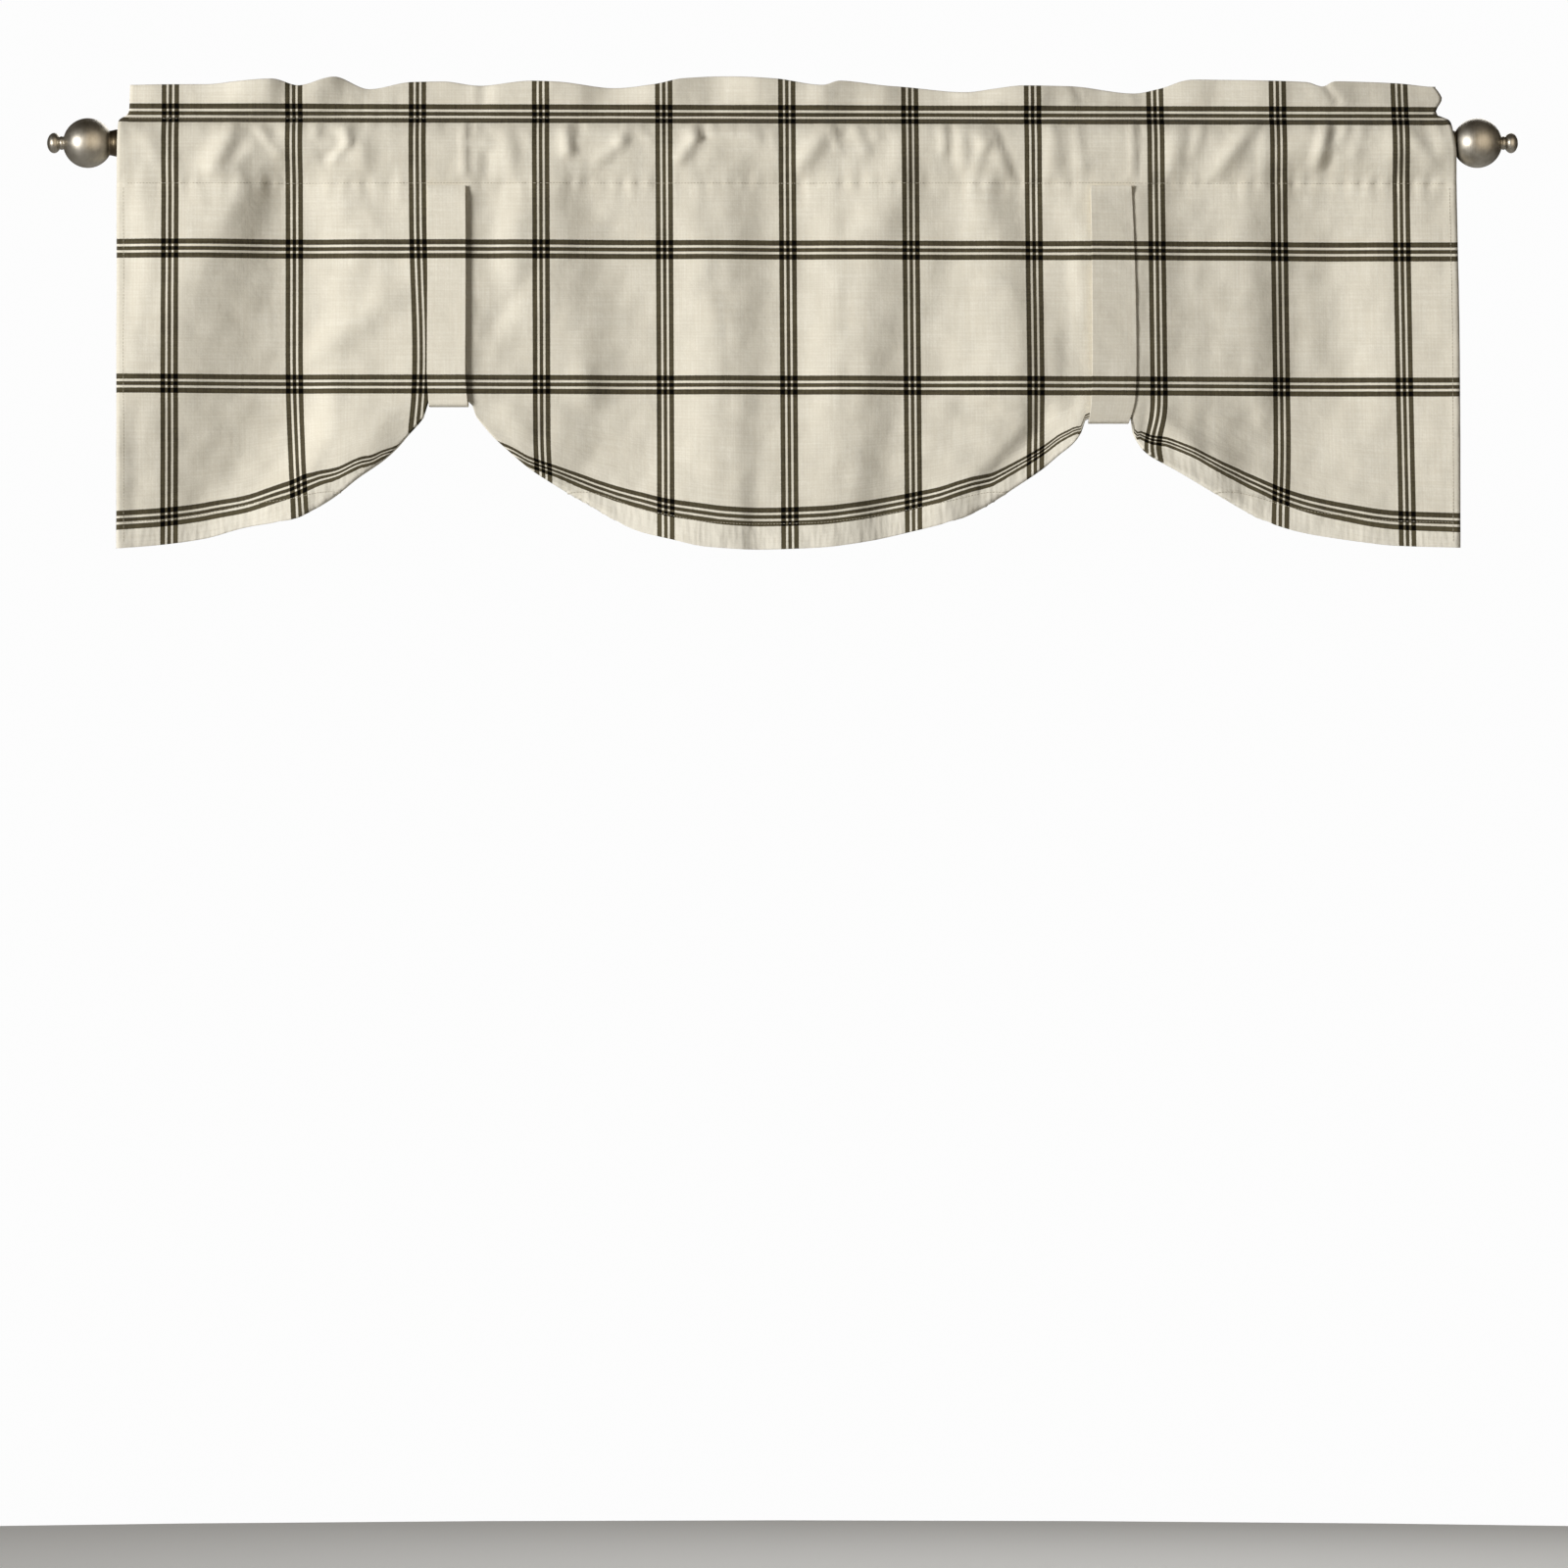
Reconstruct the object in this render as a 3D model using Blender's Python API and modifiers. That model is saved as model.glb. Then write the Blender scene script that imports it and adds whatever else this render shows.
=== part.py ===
"""A window valance on a curtain rod.

Lengths in the tables are millimetres. The rod runs along X, -Y faces the
room, +Y faces the window, and the origin is on the rod's axis at its middle.
"""

import math

import bmesh
import bpy
import numpy as np

MM = 0.001

# Rod and finials
ROD_RADIUS = 12.7
ROD_LENGTH = 1352.0
PIECE_GAP = 0.3
COLLAR_LENGTH = 10.5
# Collar: radius, distance from its face against the rod's end
COLLAR_PROFILE = ((12.6, 9.5), (13.0, 7.5), (13.6, 5.0), (14.0, 2.0), (14.0, 0.6), (13.4, 0.0), (0.0, 0.0))
BALL_RADIUS = 25.4
NECK_RADIUS = 6.5
NECK_LENGTH = 4.2
KNOB_RADIUS = 10.4
KNOB_HALF_LENGTH = 7.2
TURNED_SIDES = 40

# Cloth levels, measured from the rod's axis
CLOTH_THICKNESS = 1.2
UPPER_SEAM = 25.0
LOWER_SEAM = -41.0
HEM_LEVEL = -415.0
TUCK_LEVEL = -247.5        # the skirt is drawn up only below this level
RAW_EDGE = -45.0           # where the turned-over top ends, at the back
SEAM_HALF_GAP = 1.2        # from the seam to the middle of either layer
SEAM_FORWARD = 6.0         # the skirt hangs this far in front of the rod's axis
POCKET_HALF_DEPTH = 15.5
POCKET_ROUNDNESS = (1.4, 2.4)     # of its lower and of its upper part
ROD_TOUCH = 15.1           # beside the rod the middle of the cloth stays this far from its axis
END_FADE = 0.45            # share of a crease's length over which each end dies out
SEAM_WAVE = 0.85           # share of the skirt's folds that its seam follows
SEAM_REACH = 30.0          # folds grow from the seam to their full depth over this drop
POCKET_REACH = 38.0        # and die out this far above it
HEADING_PUFF = 1.2
TAIL_LIFT = 0.6            # the raw edge stands this far off the skirt's back

# The drawn-up cloth inside the straps
TURNED_FROM = 25.0         # more spare length than this is turned up behind the lower edge,
TURNED_FULLY = 95.0        # and all of it from here on
BUNDLE_DEPTH = 34.0
BUNDLE_GROWTH = 50.0
BUNDLE_LIFT = 0.8
EDGE_ROW = 32.0            # least length of the cut below the row that follows the lower edge
FOLD_FADE = 10.0           # folds die out this far from the flat cloth behind a strap
FLAT_MARGIN = 3.0          # which is this much wider than the strap, each side
STRAP_THICKNESS = 1.6
STRAP_CLEARANCE = 2.6
STRAP_BACK = 34.0
STRAP_CORNERS = (3.5, 9.0)      # radii of the loop's front and back corner
STRAP_TOP = -43.5
STRAP_BACK_TOP = (-2.0, -49.0)  # y and level where the strap's back end is sewn on
STRAP_BACK_RISE = 12.0          # upright stretch behind the loop's foot

# Side edges of the cloth: level, left x, right x
SIDE_EDGES = (
    (-415, -678.0, 689.5), (-254, -679.0, 691.5), (-60, -679.5, 688.5), (-10, -678.5, 687.0),
    (11, -678.0, 683.0),
    (25, -673.5, 672.0), (34, -668.0, 668.5), (46, -666.0, 671.0), (62, -665.5, 665.0),
)

# Top of the heading: x, level
HEADING_TOP = (
    (-666, 59), (-628, 59.5), (-594, 59.5), (-566, 62), (-526, 64.5), (-500, 58), (-462, 67), (-428, 54.5),
    (-382, 62), (-350, 62.5), (-313, 58), (-258, 63), (-232, 62), (-174, 55.5), (-131, 59.5), (-100, 65.5),
    (-60, 67.5), (-4, 65), (42, 58.5), (62, 63), (108, 58), (124, 57), (187, 51.5), (215, 54.5), (250, 58),
    (297, 57.5), (358, 50.5), (389, 55.5), (430, 64.5), (500, 63.5), (546, 62), (557, 57.5), (577, 63),
    (636, 61.5), (668, 58),
)

# How far the heading sways towards the room: x, distance
HEADING_SWAY = (
    (-668, 0), (-640, 3), (-595, 4), (-560, 10.5), (-526, 17), (-510, 13), (-497, 10.5), (-478, 11.5), (-460, 8),
    (-445, 3.5), (-430, 1.5), (-400, 0.5), (-360, -1), (-308, 0), (-290, 3.5), (-240, 5.5), (-210, 6.5),
    (-190, 2.5), (-176, 1), (-128, 8.5), (-110, 7.5), (-90, 4), (-72, 1.5), (-40, 7), (-25, 9), (20, 8.5),
    (40, 9.5), (60, 6), (75, 3.5), (100, 3), (125, -1), (142, -4), (190, 0), (230, 7), (245, 8), (262, 7),
    (280, 3), (295, 2), (305, -0.5), (350, -5.5), (372, -7), (420, -2), (442, -3.5), (490, 0.5), (505, 0.5),
    (522, -2), (552, -3), (592, -10), (630, -11), (668, -15),
)

# Lower edge, which the straps draw up into three scallops: x, level
LOWER_EDGE = (
    (-679, -414), (-632, -410), (-591, -404), (-547, -392), (-510, -385), (-483, -374), (-459, -361),
    (-434, -342), (-408, -324), (-392, -310), (-382, -298), (-374, -288), (-368.5, -280), (-365.7, -263.2),
    (-343, -261.8), (-317.3, -263.2), (-314.6, -275), (-305, -288), (-294.5, -300), (-281.5, -312), (-255, -335),
    (-198, -369), (-147, -396), (-115, -404), (-78, -412), (-24, -415), (37, -413), (78, -408), (126, -398),
    (184, -382), (248, -345), (268, -331), (281.5, -319), (298, -305), (306.6, -291), (309.4, -280.2),
    (333, -278.7), (357.2, -280.2), (360.0, -294), (370, -307), (382, -318), (392, -325), (414, -340),
    (450, -362), (477, -377), (511, -391), (540, -399), (576, -405), (627, -411), (690, -413),
)

# Standing folds of the skirt, a row for each bend from left to right: its x
# at each of FOLD_LEVELS, then how far it stands out there
FOLD_LEVELS = (-50.0, -120.0, -230.0, -310.0, -390.0)
FOLDS = (
    (-679, -679, -679, -679, -679, -6, -8.5, 0, 3, 4.5),
    (-650, -640, -655, -669, -672, 0, 1.5, 7, 6, 6),
    (-556, -598, -636, -655, -662, 8, 6, 10, 5, 4),
    (-508, -504, -500, -540, -608, -13, -18, -16, -19, -3),
    (-490, -486, -488, -522, -590, -13, -18, -15.5, -18, -2),
    (-445, -425, -450, -452, -500, -2, -4, -5, 1, 12),
    (-425, -400, -420, -420, -440, -3, -2, -3, 2, 12),
    (-370, -370, -370, -370, -370, 0, 0, 0, 0, 0),
    (-315, -315, -315, -315, -315, -1, -1, -1, -1, -1),
    (-298, -300, -300, -298, -295, -3, -1, -2, -1, -1),
    (-260, -272, -240, -272, -270, 4, 6, -3, 1, -1),
    (-235, -245, -215, -235, -240, 2, 4, -2, -2.5, -4),
    (-195, -168, -150, -158, -212, -6, -8, -10.5, -10.5, -8),
    (-130, -122, -122, -140, -192, -4.5, -6.5, -10, -10, -7.5),
    (-85, -78, -64, -62, -68, -1, 1, 2.5, 4, 9),
    (-62, -62, -50, -48, -46, -1, 0, 1.5, 4.5, 9),
    (-12, -8, -14, -20, -26, -9, -9, -5, -0.5, 4),
    (14, 16, 12, 10, 20, -9, -9, -5, 0, 5),
    (55, 60, 62, 55, 50, -2, -1, 4.5, 5.5, 6),
    (112, 88, 80, 72, 62, 6, 2.5, 6, 5, 5),
    (150, 142, 128, 118, 108, -2, -8, -4, -4, -4.5),
    (176, 168, 150, 138, 126, -2.5, -9.5, -3.5, -4, -4),
    (202, 222, 240, 238, 165, 3, -1.5, 10, 3, 0),
    (240, 262, 275, 270, 215, -4, -6, 4, -4, -7),
    (262, 285, 292, 288, 262, -4, -5, 1, -3, -6),
    (308, 308, 308, 308, 308, 0, 0, 0, 0, 0),
    (366, 366, 366, 366, 366, 0, 0, 0, 0, 0),
    (412, 418, 415, 414, 410, -8, -10, -9, -4, -2),
    (436, 438, 445, 436, 440, -8, -10.5, -11.5, -8, -4),
    (472, 470, 473, 488, 475, -6, -11, -13.5, -17, -10),
    (533, 532, 532, 505, 500, -17, -23, -26, -19, -11),
    (556, 560, 566, 532, 520, -18.5, -25, -28, -19, -10.5),
    (618, 622, 630, 620, 612, -14, -17, -17, -11, -6),
    (692, 692, 692, 692, 692, -16, -13, -12, -4, -2),
)

# Gathers of the pocket's front, each a ridge along a line: x and level at its
# upper and lower end, half width, and how far it stands out
GATHERS = (
    (-648, 8, -640, -14, 9, 2.0), (-622, -14, -618, -40, 8, 2.0), (-561, 15, -578, -24, 12, 4.5),
    (-446, 16, -444, -2, 6, 2.5), (-458, 4, -466, -16, 8, -2.5), (-430, -2, -426, -26, 9, 2.0),
    (-302, 10, -302, -30, 8, -2.5), (-280, 10, -276, -32, 9, 2.0), (-222, 16, -219, -8, 6, 3.0),
    (-158, 16, -165, 0, 7, 2.5), (-165, 0, -186, -18, 7, 2.5), (-93, 16, -89, 4, 7, 2.5),
    (-89, 4, -104, -16, 7, 2.5), (-72, 11, -34, 9, 8, 2.5), (44, 14, 22, -20, 10, 3.5),
    (122, 8, 120, -34, 10, 2.5), (184, 14, 184, -20, 7, 1.5), (197, 14, 206, -4, 8, 2.5),
    (214, 8, 228, -30, 8, 2.5), (276, 14, 276, -30, 10, 3.0), (402, 14, 398, -26, 11, 2.5),
    (476, 16, 444, -30, 10, 3.5), (554, 16, 546, -18, 6, 3.0), (625, 14, 622, -34, 11, 2.5),
    (640, 10, 660, -20, 8, 2.5),
)

# Larger creases of the skirt, in the same columns; a valley's height is below 0
SKIRT_CREASES = (
    (-476, -214, -410, -165, 13, 4.0), (-294, -185, -262, -144, 10, -3.0), (-201, -228, -200, -262, 13, 3.5),
    (192, -272, 258, -278, 15, -6.0), (205, -322, 262, -300, 12, -4.0),
    (390, -281, 422, -313, 8, 3.0), (422, -313, 491, -341, 9, 3.0),
)

# Where the folds pull the cloth sideways: x and level, reach across and down,
# and how far
DRIFTS = (
    (-499, -400, 40, 90, 7.5), (-374, -215, 22, 90, 4.3), (-380, -300, 22, 30, -2.5), (-246, -350, 30, 30, 2),
    (257, -350, 40, 50, -1.5), (385, -310, 25, 25, -8), (508, -400, 40, 60, -4),
)

# Straps: name, level of the loop's foot, and how far the skirt lies flat behind, from x to x
STRAPS = (
    ("strap_left", -269.0, -363.5, -320.5),
    ("strap_right", -286.0, 312.0, 361.5),
)
STRAP_EDGES = {            # level, left x, right x
    "strap_left": ((-269, -360.5, -320.5), (-230, -361.9, -323.0), (-41, -361.7, -323.2)),
    "strap_right": ((-286, 312.4, 353.5), (-262, 315.0, 360.0), (-230, 315.8, 361.4), (-130, 315.0, 359.5),
                    (-41, 314.0, 356.0)),
}

# Grid of the panel, from the hem up the front, over the top, down the back
COLUMNS = 73
COLUMN_CROWDING = 1.6
CROWDING_WIDTH = 55.0
PINNED_COLUMNS = (-368.5, -365.7, -317.3, -314.6, 306.6, 309.4, 357.2, 360.0)   # beside each strap's loop
PINNED_APART = 6.0         # other columns stay this far from them
BEHIND_SHARES = (1.0, 0.75, 0.5, 0.3, 0.18)    # rows in the cloth turned up behind the lower edge
BELOW_TUCK_SHARES = (1.0, 0.66, 0.33)           # and in front of it
SKIRT_LEVELS = (TUCK_LEVEL, -196.0, -140.0, -92.0, -60.0)
POCKET_LEVELS = (LOWER_SEAM, -26.0, -8.0, 8.0, 18.0, UPPER_SEAM)
HEADING_SHARES = (0.5, 0.96)


def ease(amount):
    """Goes smoothly from 0 at amount 0 to 1 at amount 1."""
    amount = np.clip(amount, 0.0, 1.0)
    return amount * amount * (3.0 - 2.0 * amount)


def through(table, column, at):
    """A curve through one column of a table, read at the values in its first column.

    It never overshoots: its slope at a row is the harmonic mean of the slopes
    on both sides, or 0 at a high or low point.
    """
    knots = np.array([row[0] for row in table], dtype=float)
    values = np.array([row[column] for row in table], dtype=float)
    sides = np.diff(values) / np.diff(knots)
    product, total = sides[1:] * sides[:-1], sides[1:] + sides[:-1]
    turning = product <= 0
    means = np.where(turning, 0.0, 2 * product / np.where(turning, 1.0, total))
    slopes = np.concatenate((sides[:1], means, sides[-1:]))
    at = np.clip(at, knots[0], knots[-1])
    left = np.clip(np.searchsorted(knots, at) - 1, 0, len(knots) - 2)
    span = knots[left + 1] - knots[left]
    t = (at - knots[left]) / span
    return (
        values[left] * (1 + 2 * t) * (1 - t) ** 2
        + values[left + 1] * t * t * (3 - 2 * t)
        + span * t * (1 - t) * (slopes[left] * (1 - t) - slopes[left + 1] * t)
    )


def near_straps(x):
    """1 behind a strap, falling to 0 a little way from its sides."""
    cover = np.zeros_like(x)
    for _, _, left, right in STRAPS:
        distance = np.abs(x - 0.5 * (left + right)) - 0.5 * (right - left) - FLAT_MARGIN
        cover = np.maximum(cover, ease(1.0 - distance / FOLD_FADE))
    return cover


def standing_folds(x, level):
    """The skirt's relief: a smooth step from each ridge or valley to the next."""
    count = len(FOLD_LEVELS)
    levels = np.arange(count)
    at = np.interp(-level, -np.array(FOLD_LEVELS), levels)
    tables = [list(zip(levels, fold[:count], fold[count:])) for fold in FOLDS]
    places = [through(table, 1, at) for table in tables]
    heights = [through(table, 2, at) for table in tables]
    relief = np.zeros_like(x) + heights[0]
    for i in range(len(FOLDS) - 1):
        step = ease((x - places[i]) / (places[i + 1] - places[i]))
        relief += (heights[i + 1] - heights[i]) * step
    return relief * (1.0 - near_straps(x))


def creases(table, x, level):
    """Relief of a table of lines: a bell across each line, dying out past both its ends."""
    relief = np.zeros_like(x)
    for upper_x, upper_z, lower_x, lower_z, width, height in table:
        run, drop = lower_x - upper_x, lower_z - upper_z
        length = math.hypot(run, drop)
        along = ((x - upper_x) * run + (level - upper_z) * drop) / length ** 2
        off = ((x - upper_x) * drop - (level - upper_z) * run) / length
        fade = ease((along + END_FADE) / END_FADE) * ease((1.0 + END_FADE - along) / END_FADE)
        relief += height * fade * np.exp(-((off / width) ** 2))
    return relief


def across(share, level):
    """X of the share of the way from the cloth's left edge to its right edge."""
    left = through(SIDE_EDGES, 1, level)
    right = through(SIDE_EDGES, 2, level)
    return left + (right - left) * share


def turned_up(x):
    """Length of the cut that is turned up behind the lower edge."""
    spare = through(LOWER_EDGE, 1, x) - HEM_LEVEL
    return spare * ease((spare - TURNED_FROM) / (TURNED_FULLY - TURNED_FROM))


def hang(x, level):
    """Hung level, and depth behind the front, of a level on the cut cloth.

    What is turned up goes up behind the lower edge and down again to the hem.
    """
    lower_edge, turned = through(LOWER_EDGE, 1, x), turned_up(x)
    below = np.maximum(TUCK_LEVEL - level, 0.0)
    in_front = TUCK_LEVEL - HEM_LEVEL - turned
    down = np.clip(below / in_front, 0.0, 1.0)
    b = np.clip((below - in_front) / np.maximum(turned, 1.0), 0.0, 1.0)
    bundle = BUNDLE_DEPTH * (1.0 - np.exp(-turned / BUNDLE_GROWTH))
    rise = 0.25 * np.maximum(turned - bundle, 0.0) * (1.0 - np.cos(2 * math.pi * b))
    rise += BUNDLE_LIFT * ease(5.0 * b)
    hung = np.maximum(level, TUCK_LEVEL) - down * (TUCK_LEVEL - lower_edge) + rise
    return hung, bundle * b ** 0.7


def skirt_row(share, level):
    """A row of the skirt at a level on the cut cloth, which may differ from column to column."""
    x = across(share, np.maximum(level, TUCK_LEVEL))
    hung, behind = hang(x, level)
    stretch = (TUCK_LEVEL - HEM_LEVEL) / (TUCK_LEVEL - through(LOWER_EDGE, 1, x))
    as_cut = np.where(hung > TUCK_LEVEL, hung, TUCK_LEVEL - (TUCK_LEVEL - hung) * stretch)
    grown = SEAM_WAVE + (1.0 - SEAM_WAVE) * ease((LOWER_SEAM - as_cut) / SEAM_REACH)
    out = grown * standing_folds(x, as_cut) + creases(SKIRT_CREASES, x, hung) * (1.0 - near_straps(x))
    drift = np.zeros_like(x)
    for middle_x, middle_z, reach_x, reach_z, shift in DRIFTS:
        drift += shift * np.exp(-(((x - middle_x) / reach_x) ** 2) - ((hung - middle_z) / reach_z) ** 2)
    return x + drift, -SEAM_FORWARD - SEAM_HALF_GAP - out + behind, hung


def pocket_row(share, level, side):
    """A row of the pocket: side -1 is its front, side 1 its back."""
    x = across(share, level)
    height, roundness = (UPPER_SEAM, POCKET_ROUNDNESS[1]) if level > 0 else (-LOWER_SEAM, POCKET_ROUNDNESS[0])
    depth = SEAM_HALF_GAP + (POCKET_HALF_DEPTH - SEAM_HALF_GAP) * (1 - (abs(level) / height) ** roundness)
    wave = SEAM_WAVE * standing_folds(x, FOLD_LEVELS[0]) * ease(1.0 - (level - LOWER_SEAM) / POCKET_REACH)
    forward = SEAM_FORWARD * max(level / LOWER_SEAM, 0.0)
    seam_fade = math.sin(math.pi * (UPPER_SEAM - level) / (UPPER_SEAM - LOWER_SEAM)) ** 0.5
    relief = creases(GATHERS, x, level) if side < 0 else 0.5 * creases(GATHERS, x + 14.0, level)
    y = -wave - forward + side * (depth + seam_fade * relief)
    if abs(level) < ROD_RADIUS:
        y = side * np.maximum(side * y, ROD_TOUCH)
    return x, y, np.full_like(x, level)


def heading_row(share, up, side):
    """A row of the heading, the share up of the way to its top; side 0 is the turn at the top."""
    top = through(HEADING_TOP, 1, across(share, UPPER_SEAM))
    level = UPPER_SEAM + (top - UPPER_SEAM) * up
    x = across(share, level)
    sway = through(HEADING_SWAY, 1, x) * up * (2.0 - up)
    puff = SEAM_HALF_GAP + HEADING_PUFF * math.sin(math.pi * up)
    return x, -sway + side * puff, level


def column_shares():
    """Even shares across the cloth, closer together near the straps, with the pinned columns among them."""
    fine = np.linspace(0.0, 1.0, 2001)
    x = across(fine, TUCK_LEVEL)
    density = np.ones_like(x)
    for _, _, left, right in STRAPS:
        density += COLUMN_CROWDING * np.exp(-(((x - 0.5 * (left + right)) / CROWDING_WIDTH) ** 2))
    total = np.concatenate(([0.0], np.cumsum(0.5 * (density[1:] + density[:-1]))))
    places = np.interp(np.linspace(0.0, total[-1], COLUMNS + 1), total, x)
    pinned = np.array(PINNED_COLUMNS)
    free = [place for place in places if np.min(np.abs(place - pinned)) > PINNED_APART]
    return np.interp(np.sort(np.concatenate((free, pinned))), x, fine)


def cloth_rows():
    """Every row of the panel, from the hem up the front, over the top and down the back."""
    share = column_shares()
    turned = np.maximum(turned_up(across(share, TUCK_LEVEL)), EDGE_ROW)
    in_front = TUCK_LEVEL - HEM_LEVEL - turned
    rows = [skirt_row(share, HEM_LEVEL + turned * (1.0 - behind)) for behind in BEHIND_SHARES]
    rows += [skirt_row(share, TUCK_LEVEL - in_front * down) for down in BELOW_TUCK_SHARES]
    rows += [skirt_row(share, np.full_like(share, level)) for level in SKIRT_LEVELS]
    rows += [pocket_row(share, level, -1) for level in POCKET_LEVELS]
    rows += [heading_row(share, up, -1) for up in HEADING_SHARES]
    rows += [heading_row(share, 1.0, 0)]
    rows += [heading_row(share, up, 1) for up in reversed(HEADING_SHARES)]
    rows += [pocket_row(share, level, 1) for level in reversed(POCKET_LEVELS)]
    x, y, z = rows[-1]
    rows += [(x, y + TAIL_LIFT, np.full_like(z, RAW_EDGE))]
    return rows


def strap_path(foot):
    """(y, level) down the front of a strap, round under the cloth and up behind it."""
    front = -SEAM_FORWARD - SEAM_HALF_GAP - 0.5 * CLOTH_THICKNESS - 0.5 * STRAP_THICKNESS - STRAP_CLEARANCE
    low = foot + 0.5 * STRAP_THICKNESS
    toe, heel = STRAP_CORNERS
    path = [(front, STRAP_TOP + (low + toe - STRAP_TOP) * step / 6) for step in range(7)]
    for step in range(1, 5):
        turn = math.pi / 2 * step / 4
        path.append((front + toe * (1 - math.cos(turn)), low + toe * (1 - math.sin(turn))))
    for step in range(6):
        turn = math.pi / 2 * step / 5
        path.append((STRAP_BACK - heel * (1 - math.sin(turn)), low + heel * (1 - math.cos(turn))))
    back_top, end = STRAP_BACK_TOP
    start = low + heel + STRAP_BACK_RISE
    for step in range(6):
        rise = step / 5
        path.append((STRAP_BACK + (back_top - STRAP_BACK) * rise ** 1.2, start + (end - start) * rise))
    return path


def finial_profile():
    """(radius, distance from the collar's face) of the turned finial, from its tip to its collar."""
    groove_radius = COLLAR_PROFILE[0][0]
    ball_middle = COLLAR_LENGTH + math.sqrt(BALL_RADIUS ** 2 - groove_radius ** 2)
    neck_start = ball_middle + math.sqrt(BALL_RADIUS ** 2 - NECK_RADIUS ** 2)
    knob_reach = KNOB_HALF_LENGTH * math.sqrt(1 - (NECK_RADIUS / KNOB_RADIUS) ** 2)
    knob_middle = neck_start + NECK_LENGTH + knob_reach
    profile = []
    knob_end = math.pi - math.asin(NECK_RADIUS / KNOB_RADIUS)
    for step in range(11):
        turn = knob_end * step / 10
        profile.append((KNOB_RADIUS * math.sin(turn), knob_middle + KNOB_HALF_LENGTH * math.cos(turn)))
    ball_start = math.asin(NECK_RADIUS / BALL_RADIUS)
    ball_end = math.pi - math.asin(groove_radius / BALL_RADIUS)
    for step in range(19):
        turn = ball_start + (ball_end - ball_start) * step / 18
        profile.append((BALL_RADIUS * math.sin(turn), ball_middle + BALL_RADIUS * math.cos(turn)))
    return profile + list(COLLAR_PROFILE)


def make_material(name, colour, roughness, metallic):
    material = bpy.data.materials.new(name)
    material.use_nodes = True
    shader = material.node_tree.nodes["Principled BSDF"]
    shader.inputs["Base Color"].default_value = (*colour, 1.0)
    shader.inputs["Roughness"].default_value = roughness
    shader.inputs["Metallic"].default_value = metallic
    return material


def add_object(name, data, material, collection):
    data.materials.append(material)
    piece = bpy.data.objects.new(name, data)
    collection.objects.link(piece)
    return piece


def add_sheet(name, rows, thickness, material, collection):
    """A flat grid laid in the given rows of (x, y, z) arrays, and thickened on both sides."""
    across_count = len(rows[0][0]) - 1
    up_count = len(rows) - 1
    places = np.array(rows).transpose(0, 2, 1) * MM
    sheet = bmesh.new()
    bmesh.ops.create_grid(sheet, x_segments=across_count, y_segments=up_count, size=1.0)
    for corner in sheet.verts:
        column = round((corner.co.x + 1) / 2 * across_count)
        row = round((corner.co.y + 1) / 2 * up_count)
        corner.co = places[row, column]
    mesh = bpy.data.meshes.new(name)
    sheet.to_mesh(mesh)
    sheet.free()
    mesh.shade_smooth()
    piece = add_object(name, mesh, material, collection)
    wall = piece.modifiers.new("thickness", "SOLIDIFY")
    wall.thickness = thickness * MM
    wall.offset = 0.0
    wall.use_even_offset = True
    return piece


def add_strap(name, foot, material, collection):
    """A strap two faces wide between its STRAP_EDGES."""
    rows = []
    for y, level in strap_path(foot):
        left, right = (float(through(STRAP_EDGES[name], column, level)) for column in (1, 2))
        rows.append((np.linspace(left, right, 3), np.full(3, y), np.full(3, level)))
    return add_sheet(name, rows, STRAP_THICKNESS, material, collection)


def add_rod(material, collection):
    line = bpy.data.curves.new("rod", "CURVE")
    line.dimensions = "3D"
    line.bevel_depth = ROD_RADIUS * MM
    line.bevel_resolution = 8
    line.use_fill_caps = True
    spline = line.splines.new("POLY")
    spline.points.add(1)
    half = 0.5 * ROD_LENGTH * MM
    spline.points[0].co = (-half, 0.0, 0.0, 1.0)
    spline.points[1].co = (half, 0.0, 0.0, 1.0)
    return add_object("rod", line, material, collection)


def add_finial(name, side, material, collection):
    """A turned finial whose axis points away from the rod: side -1 is left, side 1 right."""
    profile = finial_profile()
    mesh = bpy.data.meshes.new(name)
    places = [(radius * MM, 0.0, along * MM) for radius, along in profile]
    mesh.from_pydata(places, [(i, i + 1) for i in range(len(places) - 1)], [])
    piece = add_object(name, mesh, material, collection)
    piece.location = (side * (0.5 * ROD_LENGTH + PIECE_GAP) * MM, 0.0, 0.0)
    piece.rotation_euler = (0.0, side * math.pi / 2, 0.0)
    turn = piece.modifiers.new("turn", "SCREW")
    turn.steps = TURNED_SIDES
    turn.render_steps = TURNED_SIDES
    turn.use_merge_vertices = True
    turn.merge_threshold = 0.00001
    turn.use_smooth_shade = True
    return piece


def main():
    for old in list(bpy.data.objects):
        bpy.data.objects.remove(old, do_unlink=True)
    collection = bpy.data.collections.new("window_valance")
    bpy.context.scene.collection.children.link(collection)

    cloth = make_material("woven_check", (0.80, 0.75, 0.63), 0.9, 0.0)
    strap = make_material("strap_cloth", (0.76, 0.71, 0.59), 0.9, 0.0)
    pewter = make_material("brushed_pewter", (0.42, 0.40, 0.37), 0.32, 1.0)

    add_sheet("valance_cloth", cloth_rows(), CLOTH_THICKNESS, cloth, collection)
    for name, foot, _, _ in STRAPS:
        add_strap(name, foot, strap, collection)
    add_rod(pewter, collection)
    add_finial("finial_left", -1, pewter, collection)
    add_finial("finial_right", 1, pewter, collection)


main()
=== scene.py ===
"""A window valance on a curtain rod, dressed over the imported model.

Numbers in the tables are millimetres. The rod runs along X, -Y faces the room
and +Y the window, and the origin is on the rod's axis at its middle.
"""

import math

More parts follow.
